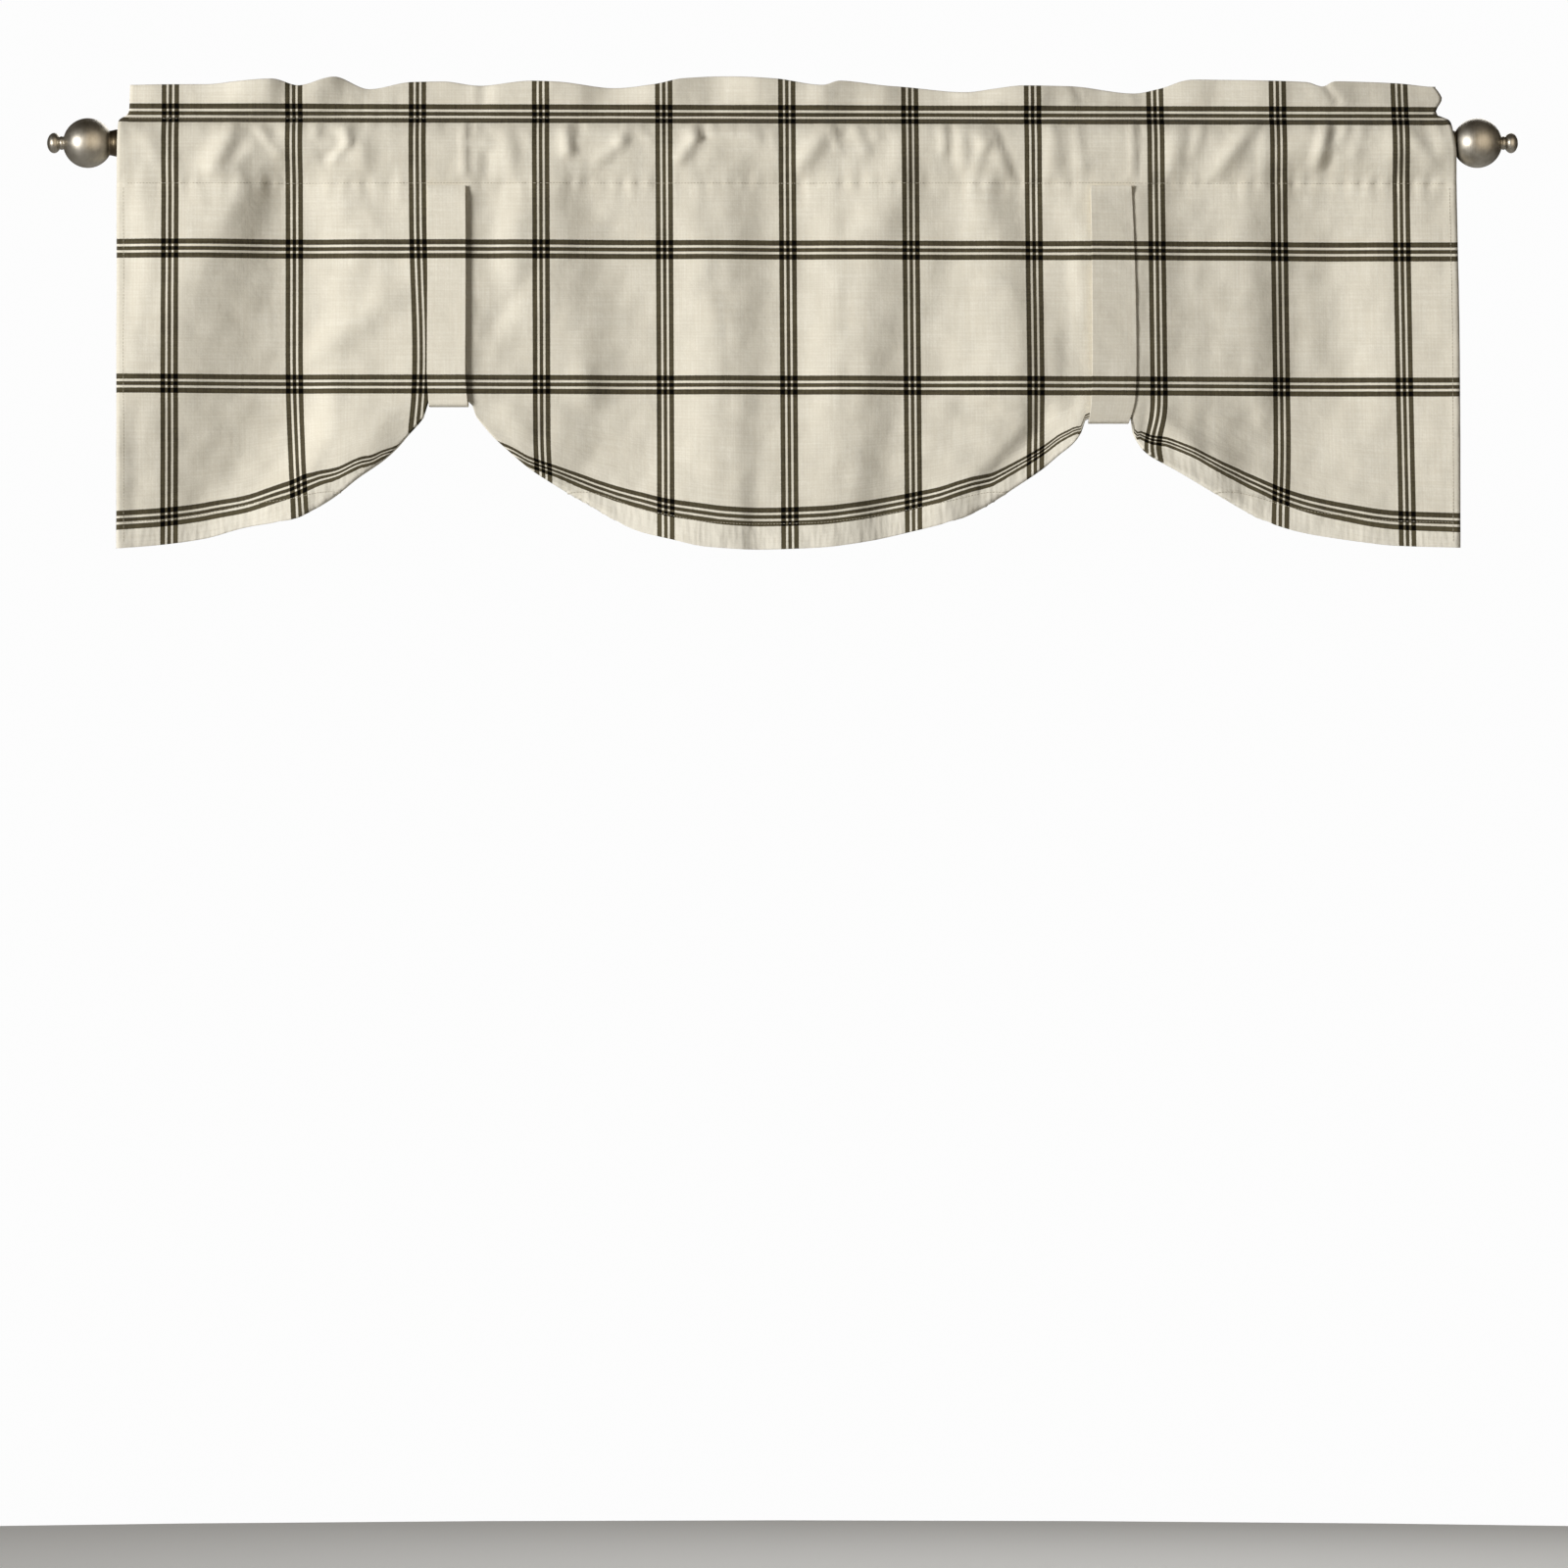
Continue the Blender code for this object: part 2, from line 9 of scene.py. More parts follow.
import bmesh
import bpy
import numpy as np
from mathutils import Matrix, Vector


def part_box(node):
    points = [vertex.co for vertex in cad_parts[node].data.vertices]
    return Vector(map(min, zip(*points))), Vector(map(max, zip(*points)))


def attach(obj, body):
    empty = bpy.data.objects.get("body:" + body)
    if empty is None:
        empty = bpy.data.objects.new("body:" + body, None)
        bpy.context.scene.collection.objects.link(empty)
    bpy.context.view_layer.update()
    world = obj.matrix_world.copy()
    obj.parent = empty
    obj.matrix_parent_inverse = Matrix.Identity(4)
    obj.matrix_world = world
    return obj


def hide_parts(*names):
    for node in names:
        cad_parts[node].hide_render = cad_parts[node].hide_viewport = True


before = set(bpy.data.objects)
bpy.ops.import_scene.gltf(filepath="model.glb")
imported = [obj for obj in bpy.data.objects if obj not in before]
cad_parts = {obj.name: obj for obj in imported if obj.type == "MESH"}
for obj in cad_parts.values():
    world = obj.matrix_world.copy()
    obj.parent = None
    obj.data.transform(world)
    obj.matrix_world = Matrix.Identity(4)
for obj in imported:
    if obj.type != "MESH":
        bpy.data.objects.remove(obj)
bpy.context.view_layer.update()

# ---- Camera ----
# It stands well back and looks straight ahead, level with the middle of the
# window that the valance hangs over, so the rod is high in the view.
VIEW_WIDTH = 1.6            # metres across the view at the rod
VIEW_DISTANCE = 14.0
VIEW_MIDDLE = (0.0015, -0.654)
SENSOR_WIDTH = 36.0

camera_data = bpy.data.cameras.new("camera")
camera_data.sensor_width = SENSOR_WIDTH
camera_data.lens = SENSOR_WIDTH * VIEW_DISTANCE / VIEW_WIDTH
camera = bpy.data.objects.new("camera", camera_data)
camera.location = (VIEW_MIDDLE[0], -VIEW_DISTANCE, VIEW_MIDDLE[1])
camera.rotation_euler = (math.radians(90.0), 0.0, 0.0)
bpy.context.scene.collection.objects.link(camera)
bpy.context.scene.camera = camera

# ---- Rod ----
# A drawn steel tube with a plated, lacquered pewter finish. It runs inside the
# cloth's pocket from end to end, and only its ends show, from the sides.
MM = 0.001


def linear(code):
    """The linear colour of an sRGB hex code.

    Each part c up to 0.04045 becomes c / 12.92, and above it
    ((c + 0.055) / 1.055) to the power 2.4.
    """
    parts = (int(code[i:i + 2], 16) / 255 for i in (1, 3, 5))
    return *(c / 12.92 if c <= 0.04045 else ((c + 0.055) / 1.055) ** 2.4 for c in parts), 1.0


def feed(node, **inputs):
    """Sets a node's inputs, each named, or numbered as _0, _1.

    A value is set. An output socket is linked, or a node's first output.
    """
    for name, value in inputs.items():
        socket = node.inputs[int(name[1:]) if name[0] == "_" else name.replace("_", " ")]
        if isinstance(value, bpy.types.Node):
            value = value.outputs[0]
        if isinstance(value, bpy.types.NodeSocket):
            node.id_data.links.new(value, socket)
        else:
            socket.default_value = value


def add(tree, kind, settings=(), stops=(), **inputs):
    """Adds a shader node with settings, a colour ramp's (position, hex code) stops, and inputs."""
    node = tree.nodes.new("ShaderNode" + kind)
    for name, value in dict(settings).items():
        setattr(node, name, value)
    for i, (position, code) in enumerate(stops):
        elements = node.color_ramp.elements
        element = elements[i] if i < 2 else elements.new(position)
        element.position, element.color = position, linear(code)
    feed(node, **inputs)
    return node


def blank_material(name):
    """A new material, its node tree, and the shader that the tree's nodes feed."""
    material = bpy.data.materials.new(name)
    material.use_nodes = True
    return material, material.node_tree, material.node_tree.nodes["Principled BSDF"]


SMOOTH = {"interpolation_type": "SMOOTHSTEP"}
COLOUR = {"data_type": "RGBA"}


def pewter(name, streak_scale, painted_shade_span=(1.0, 2.0)):
    """Pewter plate under a satin lacquer, rubbed in the lathe or drawn along.

    It gives a warm grey metal with broad, slightly streaked highlights. It carries painted shade:
    a dark brown that fades in from the second to the first of the distances given, from the middle
    of the rod, in metres, where a finial's collar sits beside the cloth.
    streak_scale stretches the streaks, which are 0.6 mm apart.
    """
    material, tree, shader = blank_material(name)
    place = add(tree, "TexCoord").outputs["Object"]
    stretched = add(tree, "Mapping", Vector=place, Scale=streak_scale)
    streaks = add(tree, "TexNoise", Vector=stretched, Scale=1.0, Detail=3.0)
    clouds = add(tree, "TexNoise", Vector=place, Scale=70.0, Detail=4.0, Roughness=0.6)
    mixed = add(tree, "Math", {"operation": "MULTIPLY_ADD"}, _0=streaks, _1=0.35, _2=clouds)
    tone = add(tree, "ValToRGB", Fac=mixed,
               stops=((0.45, "#999285"), (0.70, "#b3ada1"), (0.95, "#c2bcb1")))
    along = add(tree, "SeparateXYZ", Vector=place)
    along = add(tree, "Math", {"operation": "ABSOLUTE"}, _0=along)
    # Painted shade: the base colour turns dark brown at the finials' inner ends, the collars
    # beside the cloth, and fades out outwards
    gathered = add(tree, "MapRange", SMOOTH, Value=along, From_Min=painted_shade_span[1],
                   From_Max=painted_shade_span[0])
    tone = add(tree, "Mix", COLOUR, _0=gathered, _6=tone, _7=linear("#5d5342")).outputs[2]
    rough = add(tree, "MapRange", Value=mixed, From_Min=0.4, From_Max=1.0, To_Min=0.38, To_Max=0.5)
    bump = add(tree, "Bump", Strength=0.25, Distance=0.00006, Height=streaks)
    feed(shader, Base_Color=tone, Roughness=rough, Normal=bump, Metallic=1.0)
    return material


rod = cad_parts["rod"]
rod_finish = pewter("drawn pewter plate", (12.0, 1600.0, 1600.0))
for place in rod.material_slots:
    place.material = rod_finish

# ---- Finials ----
# Cast zinc, turned on a lathe and plated like the rod: a flared collar, a
# ball, a short neck and a small knob. Each screws onto an end of the rod.
COLLAR_LENGTH = 10.5
BALL_RADIUS = 25.4
NECK_RADIUS = 6.5
NECK_LENGTH = 4.2
NECK_BEAD = 0.5            # how far the neck swells at its middle
KNOB_RADIUS = 10.4
KNOB_HALF_LENGTH = 7.2
KNOB_STEPS, NECK_STEPS, BALL_STEPS = 26, 9, 44
TURNED_SIDES = 128
MERGED_WITHIN = 0.000001   # metres
# Collar: radius, distance from its face against the rod's end
COLLAR_PROFILE = (
    (12.6, 9.5), (12.7, 8.9), (13.0, 7.5), (13.1, 7.2), (12.85, 7.0), (13.15, 6.8), (13.6, 5.0),
    (13.9, 3.4), (14.0, 2.0), (14.0, 0.6), (13.85, 0.2), (13.4, 0.0), (0.0, 0.0),
)


def laid_surface(name, x, y, z, wrap=False, cut=None):
    """A mesh over rows and columns of points in millimetres, a face between each four of them.

    wrap joins the last column to the first. cut is the (u, v) of each point
    on the flat cloth, in millimetres, and is kept in metres as a UV map.
    """
    corners = np.arange(x.size).reshape(x.shape)
    if wrap:
        corners = np.column_stack((corners, corners[:, 0]))
    ahead, behind = corners[1:], corners[:-1]
    faces = np.stack((behind[:, :-1], behind[:, 1:], ahead[:, 1:], ahead[:, :-1]), axis=-1)
    mesh = bpy.data.meshes.new(name)
    mesh.vertices.add(x.size)
    mesh.vertices.foreach_set("co", (np.stack((x, y, z), axis=-1) * MM).ravel())
    mesh.loops.add(faces.size)
    mesh.loops.foreach_set("vertex_index", faces.ravel())
    mesh.polygons.add(faces.size // 4)
    mesh.polygons.foreach_set("loop_start", np.arange(0, faces.size, 4))
    mesh.update(calc_edges=True)
    if cut is not None:
        flat = np.stack(cut, axis=-1).reshape(-1, 2) * MM
        mesh.uv_layers.new(name="cut").data.foreach_set("uv", flat[faces.ravel()].ravel())
    mesh.shade_smooth()
    return mesh


def piece_of(name, mesh, material):
    """Puts a mesh in the scene as a piece that rides on the body, with the given material."""
    mesh.materials.append(material)
    piece = bpy.data.objects.new(name, mesh)
    bpy.context.scene.collection.objects.link(piece)
    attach(piece, "root")
    return piece


def arc(middle, radius_across, radius_along, start, end, count):
    """Points (radius, distance) round part of an ellipse, as t goes from start to end.

    radius = across x sin(t), and distance = middle + along x cos(t).
    """
    t = np.linspace(start, end, count)
    return np.column_stack((radius_across * np.sin(t), middle + radius_along * np.cos(t)))


def finial_profile():
    """(radius, distance from the collar's face) from the knob's tip to the collar."""
    groove_radius = COLLAR_PROFILE[0][0]
    ball_middle = COLLAR_LENGTH + math.sqrt(BALL_RADIUS ** 2 - groove_radius ** 2)
    neck_start = ball_middle + math.sqrt(BALL_RADIUS ** 2 - NECK_RADIUS ** 2)
    knob_reach = KNOB_HALF_LENGTH * math.sqrt(1 - (NECK_RADIUS / KNOB_RADIUS) ** 2)
    knob_middle = neck_start + NECK_LENGTH + knob_reach
    knob_end = math.pi - math.asin(NECK_RADIUS / KNOB_RADIUS)
    knob = arc(knob_middle, KNOB_RADIUS, KNOB_HALF_LENGTH, 0.0, knob_end, KNOB_STEPS)
    ball_start = math.asin(NECK_RADIUS / BALL_RADIUS)
    ball_end = math.pi - math.asin(groove_radius / BALL_RADIUS)
    ball = arc(ball_middle, BALL_RADIUS, BALL_RADIUS, ball_start, ball_end, BALL_STEPS)
    waist = np.linspace(knob[-1, 1], ball[0, 1], NECK_STEPS)[1:-1]
    bead = NECK_RADIUS + NECK_BEAD * np.sin(np.pi * (waist - waist[0]) / (waist[-1] - waist[0]))
    return np.vstack((knob, np.column_stack((bead, waist)), ball, np.array(COLLAR_PROFILE)))


def finial_mesh(name, side):
    """The profile turned round X: x = rod's end + distance, y and z = radius x cos and sin."""
    lowest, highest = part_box(name)
    face = (highest if side < 0 else lowest)[0] / MM
    radius, along = finial_profile().T
    angle = np.linspace(0.0, 2 * math.pi, TURNED_SIDES, endpoint=False)
    x = np.repeat((face + side * along)[:, None], TURNED_SIDES, axis=1)
    y, z = np.outer(radius, np.cos(angle)), np.outer(radius, np.sin(angle))
    mesh = laid_surface(name, x, y, z, wrap=True)
    turned = bmesh.new()
    turned.from_mesh(mesh)
    bmesh.ops.remove_doubles(turned, verts=turned.verts, dist=MERGED_WITHIN)
    bmesh.ops.recalc_face_normals(turned, faces=turned.faces)
    turned.to_mesh(mesh)
    turned.free()
    return mesh


# The finials get painted shade on their collars, darkest at the inner ends beside the cloth
finial_finish = pewter("turned pewter plate", (1600.0, 60.0, 60.0), painted_shade_span=(0.684, 0.693))
for name, side in (("finial_left", -1), ("finial_right", 1)):
    finial = piece_of(name + "_turned", finial_mesh(name, side), finial_finish)
    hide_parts(name)

# ---- Cloth ----
# One panel of plain-woven cotton with a yarn-dyed check, turned over at the
# top and sewn twice across to leave a pocket for the rod and a ruffled
# heading above it. Straps draw its lower edge up into three scallops.
CUT_WIDTH = 1500.0
CUT_LENGTH = 580.0
LAYER = 0.8                # one layer of cloth
HEM_LAYERS = 2.2           # the turned-up hem's layers together
SIDE_HEM_WIDTH = 10.0
TOP_OF_CUT = 60.0          # the heading's top on the flat cloth
UPPER_SEAM = 25.0
LOWER_SEAM = -41.0
TUCK_LEVEL = -247.5        # the skirt is drawn up only below this level
HEM_LEVEL = -415.0
HEM_DEPTH = 28.0
HEM_TOP = HEM_LEVEL + HEM_DEPTH
RAW_EDGE = CUT_LENGTH + HEM_LEVEL    # the far end of what is turned over
SEAM_HALF_GAP = 1.2
SEAM_FORWARD = 6.0         # the skirt hangs this far in front of the rod's axis
POCKET_HALF_DEPTH = 15.5
POCKET_ROUNDNESS = (1.4, 2.4)        # of its lower and of its upper part
ROD_TOUCH = 15.5           # the middle of the cloth stays this far from the rod's axis
END_FADE = 0.45            # share of a crease's length over which each end dies out
SEAM_WAVE = 0.85           # share of the skirt's folds that its seam follows
SEAM_REACH = 30.0          # all of them show from this far below the seam,
POCKET_REACH = 38.0        # and above it they die out over this height
SEAM_HOLD = 7.0            # beside its seam, the pocket's creases are held back
SEAM_HELD = 0.8            # by this share
SEAM_GROOVE = 0.25         # how far the thread pulls the cloth in
SEAM_GROOVE_WIDTH = 1.8
POCKET_TOP_FADE = 5.0      # creases die out over this height under the upper seam
STRAP_HOLD = 12.0          # the straps hold the pocket's front flat over this height
BACK_GATHERED = 0.5        # the gathers behind, as a share of the front's
BACK_SHIFT = (14.0, 200.0)           # how far the gathers and the crumpling differ there
HEADING_PUFF = 1.2
TAIL_LIFT = 0.6
TURNED_FROM = 25.0         # more spare length than this is turned up behind the lower edge,
TURNED_FULLY = 95.0        # and all of it from here on
BUNDLE_DEPTH = 34.0
BUNDLE_GROWTH = 50.0
BUNDLE_CURVE = 0.7
BUNDLE_LIFT = 0.8          # what is turned up starts this much higher,
BUNDLE_LIFT_RATE = 5.0     # over its first fifth
KEPT_BELOW_TUCK = 14.0     # cloth that hangs flat under the level where drawing up starts
CHECK_LEAN = 0.0026        # the check runs this much lower for each millimetre to the right
LINES_OVER_HEM = (-395.0, -375.0)    # where the check has its lowest group of lines
BUNCH_HEIGHT = 2.0         # at least this height is left for what bunches up,
BAND_SHARE = 0.6           # and the hem's band takes no more than this share of the rest
FOLD_FADE = 10.0           # beside the straps, folds die out over this width,
CREASE_FADE = 9.0          # and creases over this
FLAT_MARGIN = 3.0

# Side edges of the cloth: level, left x, right x
SIDE_EDGES = (
    (-415, -678.0, 689.5), (-254, -679.0, 691.5), (-60, -679.5, 688.5), (-10, -678.5, 687.0),
    (12, -678.0, 683.5), (21, -677.5, 681.0), (26, -673.0, 674.0), (29, -668.0, 666.5),
    (34, -666.5, 667.5), (46, -666.0, 673.5), (53, -665.8, 670.0), (62, -665.5, 662.0),
)

# Top of the heading: x, level
HEADING_TOP = (
    (-666, 59), (-628, 59.5), (-594, 59.5), (-566, 62), (-526, 64.5), (-500, 58), (-462, 67),
    (-428, 54.5), (-382, 62), (-350, 62.5), (-313, 58), (-258, 63), (-232, 62), (-174, 55.5),
    (-131, 59.5), (-100, 65.5), (-60, 67.5), (-4, 65), (42, 58.5), (62, 63), (108, 58), (124, 57),
    (187, 51.5), (215, 54.5), (250, 58), (297, 57.5), (358, 50.5), (389, 55.5), (430, 64.5),
    (500, 63.5), (546, 62), (557, 57.5), (577, 63), (636, 61.5), (668, 58),
)

# How far the heading sways towards the room: x, distance
HEADING_SWAY = (
    (-668, 0), (-640, 3.5), (-595, 3.5), (-575, 7.5), (-545, 17.5), (-526, 20.5), (-510, 15.5),
    (-497, 12.5), (-478, 14), (-460, 9.5), (-445, 4), (-430, 2), (-400, 0.5), (-360, -1),
    (-308, -1), (-290, 4.5), (-240, 6.5), (-210, 8), (-190, 3), (-176, 1), (-128, 10), (-110, 9),
    (-90, 5), (-72, 2), (-40, 8.5), (-25, 11.5), (20, 8.5), (40, 10.5), (60, 7), (75, 4),
    (100, 3.5), (125, -2), (142, -4.2), (190, 0), (230, 8.5), (245, 9.5), (262, 8.5), (280, 3.5),
    (295, 2.5), (305, -0.5), (350, -6.5), (372, -8.5), (420, -2.5), (442, -4), (490, 0.5),
    (505, 0.5), (522, -2.5), (552, -3.5), (592, -11), (630, -14.5), (668, -18),
)

# Lower edge, which the straps draw up into three scallops: x, level
LOWER_EDGE = (
    (-679, -414), (-632, -410), (-591, -404), (-547, -392), (-510, -385), (-483, -374),
    (-459, -361), (-434, -342), (-408, -324), (-392, -310), (-382, -298), (-374, -288),
    (-368.5, -280), (-365.7, -264.2), (-343, -262.5), (-317.3, -264.2), (-314.6, -275),
    (-305, -288), (-294.5, -300), (-281.5, -312), (-255, -335), (-198, -369), (-147, -396),
    (-115, -404), (-78, -412), (-24, -415), (37, -413), (78, -408), (126, -398), (184, -382),
    (248, -345), (268, -331), (281.5, -319), (298, -305), (306.6, -291), (309.4, -281.2),
    (333, -279.5), (357.2, -281.2), (360.0, -294), (370, -307), (382, -318), (392, -325),
    (414, -340), (450, -362), (477, -377), (511, -391), (540, -399), (576, -405), (627, -411),
    (690, -413),
)

# Standing folds of the skirt, a row for each bend from left to right: its x
# at each of FOLD_LEVELS, then how far it stands out there
FOLD_LEVELS = (-50.0, -120.0, -230.0, -310.0, -390.0)
FOLDS = (
    (-679, -679, -679, -679, -679, -6, -8.5, 5.8, 9.2, 9.4),
    (-650, -640, -662, -670, -672, 0, 1.5, 8.7, 7.9, 8.1),
    (-556, -598, -642, -658, -658, 8, 6, 9.2, 5.4, 5.2),
    (-508, -504, -500, -522, -585, -13, -18, -16, -19, -3),
    (-490, -486, -488, -506, -568, -13, -18, -15.5, -18, -2),
    (-445, -425, -450, -452, -500, -3, -6, -6.5, 0, 12),
    (-425, -400, -420, -420, -440, -3, -4, -4.5, 1.5, 12),
    (-370, -370, -370, -370, -370, 0, 0, 0, 0, 0),
    (-315, -315, -315, -315, -315, -1, -1, -1, -1, -1),
    (-298, -300, -300, -298, -295, -3, -1, -2, -1, -1),
    (-260, -272, -240, -272, -270, 4, 6, -3, 1, -1),
    (-235, -245, -215, -235, -240, 2, 4, -2, -2.5, -4),
    (-195, -168, -150, -176, -212, -6, -8, -10.5, -10.5, -8),
    (-130, -122, -122, -140, -192, -4.5, -6.5, -10, -10, -7.5),
    (-85, -78, -64, -62, -68, -1, 1, 1.8, 4, 9),
    (-62, -62, -50, -48, -46, -1, 0, 0.7, 4.5, 9),
    (-12, -8, -14, -20, -26, -9, -9, -5, -0.5, 4),
    (14, 16, 12, 10, 20, -9, -9, -5, 0, 5),
    (55, 60, 62, 55, 50, -2, -1, 5.2, 5.5, 6),
    (112, 88, 80, 72, 62, 6, 2.0, 6, 5, 5),
    (150, 142, 128, 118, 108, -2, -4.5, -3, -4, -4.5),
    (176, 168, 150, 138, 126, -2.5, -6.5, -3.5, -4, -4),
    (202, 222, 240, 238, 165, 3, -0.5, 10, 3, 0),
    (240, 262, 275, 270, 215, -4, -6.5, 3.6, -4, -7),
    (262, 285, 292, 288, 262, -4, -5.6, 0.6, -3, -6),
    (308, 308, 308, 308, 308, 0, 0, 0, 0, 0),
    (366, 366, 366, 366, 366, 0, 0, 0, 0, 0),
    (412, 418, 415, 414, 410, -8, -8.5, -7.5, -4, -2),
    (436, 438, 445, 436, 440, -8, -10.3, -10, -8, -4),
    (472, 470, 473, 488, 475, -6, -9.4, -12, -17, -10),
    (533, 532, 532, 505, 500, -17, -23, -26, -19, -11),
    (556, 560, 566, 532, 520, -18.5, -25, -28, -19, -10.5),
    (618, 622, 630, 620, 612, -14, -17, -17, -11, -6),
    (692, 692, 692, 692, 692, -16, -13, -12, -4, -2),
)

# Gathers of the pocket's front, each a ridge along a line: x and level at its
# upper and lower end, half width, and how far it stands out
GATHERS = (
    (-648, 8, -640, -14, 9, 2.6), (-622, -14, -618, -40, 8, 2.6), (-561, 15, -578, -24, 12, 7.8),
    (-446, 16, -444, -2, 6, 3.2), (-458, 4, -466, -16, 8, -3.2), (-430, -2, -426, -26, 9, 2.6),
    (-302, 10, -302, -30, 8, -3.2), (-280, 10, -276, -32, 9, 2.6), (-222, 16, -219, -8, 6, 5.5),
    (-158, 16, -165, 0, 7, 3.2), (-165, 0, -186, -18, 7, 3.2), (-93, 16, -89, 4, 7, 4.7),
    (-89, 4, -104, -16, 7, 4.7), (-72, 11, -34, 9, 8, 3.2), (44, 14, 22, -20, 10, 6.2),
    (122, 8, 120, -34, 10, 3.2), (184, 14, 184, -20, 7, 3.1), (197, 14, 206, -4, 8, 4.4),
    (214, 8, 228, -30, 8, 3.2), (276, 14, 276, -30, 10, 3.9), (402, 14, 398, -26, 11, 4.4),
    (476, 16, 444, -30, 10, 6.2), (554, 16, 546, -18, 6, 5.5), (625, 14, 622, -34, 11, 3.2),
    (640, 10, 660, -20, 8, 3.2),
)

# Finer creases of the pocket, in the same columns; a valley's height is below 0
POCKET_CREASES = (
    (-533, 14, -515, -9, 4, 2.2), (-516, 14, -516, 0, 6, -2.2), (-541, -6, -560, -26, 7, 1.9),
    (-474, 16, -476, 6, 4, 1.9), (-446, 16, -443, 0, 4, 1.5), (-443, 0, -457, -18, 4, 1.9),
    (-324, 24, -325, -38, 3.5, 2.8), (-317, 22, -317, -38, 4, -1.5), (-262, 12, -256, -4, 5, 1.5),
    (-207, 16, -204, -4, 5, -1.9), (-147, 16, -135, 2, 5, 1.5), (-80, 16, -78, 6, 4, -1.9),
    (-26, 16, -24, 2, 4, 1.5), (-12, 12, -4, -14, 6, 1.5), (51, 13, 57, -6, 4, 2.0),
    (66, 14, 62, 2, 4, -1.5), (76, 12, 84, -8, 5, 1.8), (98, 16, 96, 4, 5, 1.5),
    (164, 14, 165, -6, 4, 2.2), (173, 14, 172, -12, 4, -1.5), (206, -4, 196, -30, 6, 1.9),
    (222, 10, 237, -30, 4, -1.5), (300, 12, 304, -20, 5, 1.8), (357, 24, 358, -38, 3.5, 2.5),
    (364, 20, 364, -30, 4, -1.2), (426, 14, 420, -10, 6, 2.5), (494, 14, 490, -24, 6, 1.5),
    (566, 14, 558, -20, 5, -2.2), (574, 12, 560, -6, 5, 2.0), (592, 14, 584, -10, 6, 1.5),
    (668, 16, 674, -10, 6, 1.8),
)

# Creases of the heading, in the same columns
HEADING_CREASES = (
    (-313, 60, -313, 40, 4, 1.5), (296, 60, 304, 44, 4, -1.5), (350, 56, 358, 42, 4, 1.2),
    (552, 62, 566, 42, 3, -2.0), (566, 42, 562, 28, 3, -2.0), (-236, 58, -250, 40, 5, 1.2),
    (180, 50, 215, 40, 5, 1.2),
)

# Creases of the skirt, in the same columns
SKIRT_CREASES = (
    (-476, -214, -410, -165, 13, 5.2), (-294, -185, -262, -144, 10, -3.0),
    (-201, -228, -200, -262, 13, 3.5), (192, -272, 258, -278, 15, -6.0),
    (205, -322, 262, -300, 18, -2.5), (390, -281, 422, -313, 9, 2.8),
    (422, -313, 491, -341, 13, 2.5),
)

# The skirt beside each strap, pulled in by it, in the same columns
STRAP_VALLEYS = ((374, -50, 374, -264, 8, -2.0),)

# Where the folds carry the check sideways: x and level, reach across and
# down, and how far
DRIFTS = (
    (-499, -400, 40, 90, 7.5), (-374, -215, 22, 90, 3.8), (-380, -300, 22, 30, -2.5),
    (-246, -350, 30, 30, 2), (257, -350, 40, 50, -1.5), (385, -310, 25, 25, -8),
    (508, -400, 40, 60, -4),
)

# Straps: name, level of the loop's foot, and where the skirt lies flat behind
# it, from x to x
STRAPS = (
    ("strap_left", -269.0, -363.5, -320.5),
    ("strap_right", -286.0, 312.0, 361.5),
)

# And the side edges of each: level, left x, right x
STRAP_EDGES = {
    "strap_left": ((-269, -360.5, -320.5), (-230, -362.5, -323.0), (-41, -362.3, -323.2)),
    "strap_right": (
        (-286, 312.4, 353.5), (-262, 315.0, 360.0), (-230, 315.8, 361.4), (-130, 315.0, 359.5),
        (-41, 314.0, 356.0),
    ),
}

# What of the cut shows at the lower edge: x, flat level right at the edge, and
# how many times the cloth is crowded where the hem's group of lines runs. The
# hem isn't folded quite along the check, so some levels are below HEM_LEVEL.
EDGE_SHOWN = (
    (-679, -412, 1.0), (-586, -411.3, 1.05), (-550, -408.4, 1.1), (-514, -414, 1.06),
    (-495, -415, 1.05), (-478, -414.5, 1.25), (-462, -410.5, 1.45), (-450, -406.8, 1.6),
    (-430, -401, 1.7), (-418, -396.5, 1.9), (-407, -395, 2.2), (-393, -380, 2.5),
    (-370, -356, 2.5), (-319, -352, 2.2), (-292, -374, 1.9), (-269, -391, 1.75),
    (-245, -399.5, 1.65), (-228, -403.6, 1.55), (-204, -407.1, 1.34), (-192, -409.1, 1.3),
    (-180, -411.9, 1.26), (-168, -414.5, 1.21), (-156, -417, 1.19), (-142, -418.3, 1.16),
    (-120, -417.3, 1.1), (-84, -419.6, 1.04), (-60, -418.5, 1.02), (24, -418.3, 1.02),
    (96, -418.4, 1.07), (133, -417.5, 1.11), (156, -417.5, 1.18), (180, -418.6, 1.25),
    (192, -417.8, 1.27), (204, -414.8, 1.32), (216, -411.5, 1.4), (241, -410, 1.7),
    (277, -408, 2.0), (297, -404, 2.4), (309, -392, 2.8), (359, -386, 2.6), (369, -400, 2.4),
    (386, -409, 2.1), (401, -416, 1.95), (425, -419, 1.75), (449, -419.5, 1.5),
    (465, -420.7, 1.38), (485, -421.2, 1.29), (521, -419, 1.16), (545, -417, 1.1),
    (581, -414.6, 1.05), (605, -413.3, 1.02), (690, -412.4, 1.0),
)

# Then, on the hung cloth: x of the first group and the distance to the next,
# at level 0 and for each millimetre higher, and how far the middle groups
# lie to the right of even spacing
CHECK_REPEAT = 138.0
CHECK_ACROSS = 59.1
CHECK_UP = 28.9
FIRST_LINES = (-624.5, 0.003)
LINES_APART = (125.51, -0.00208)
BOW, BOW_MIDDLE, BOW_REACH = 1.65, 5.0, 632.0

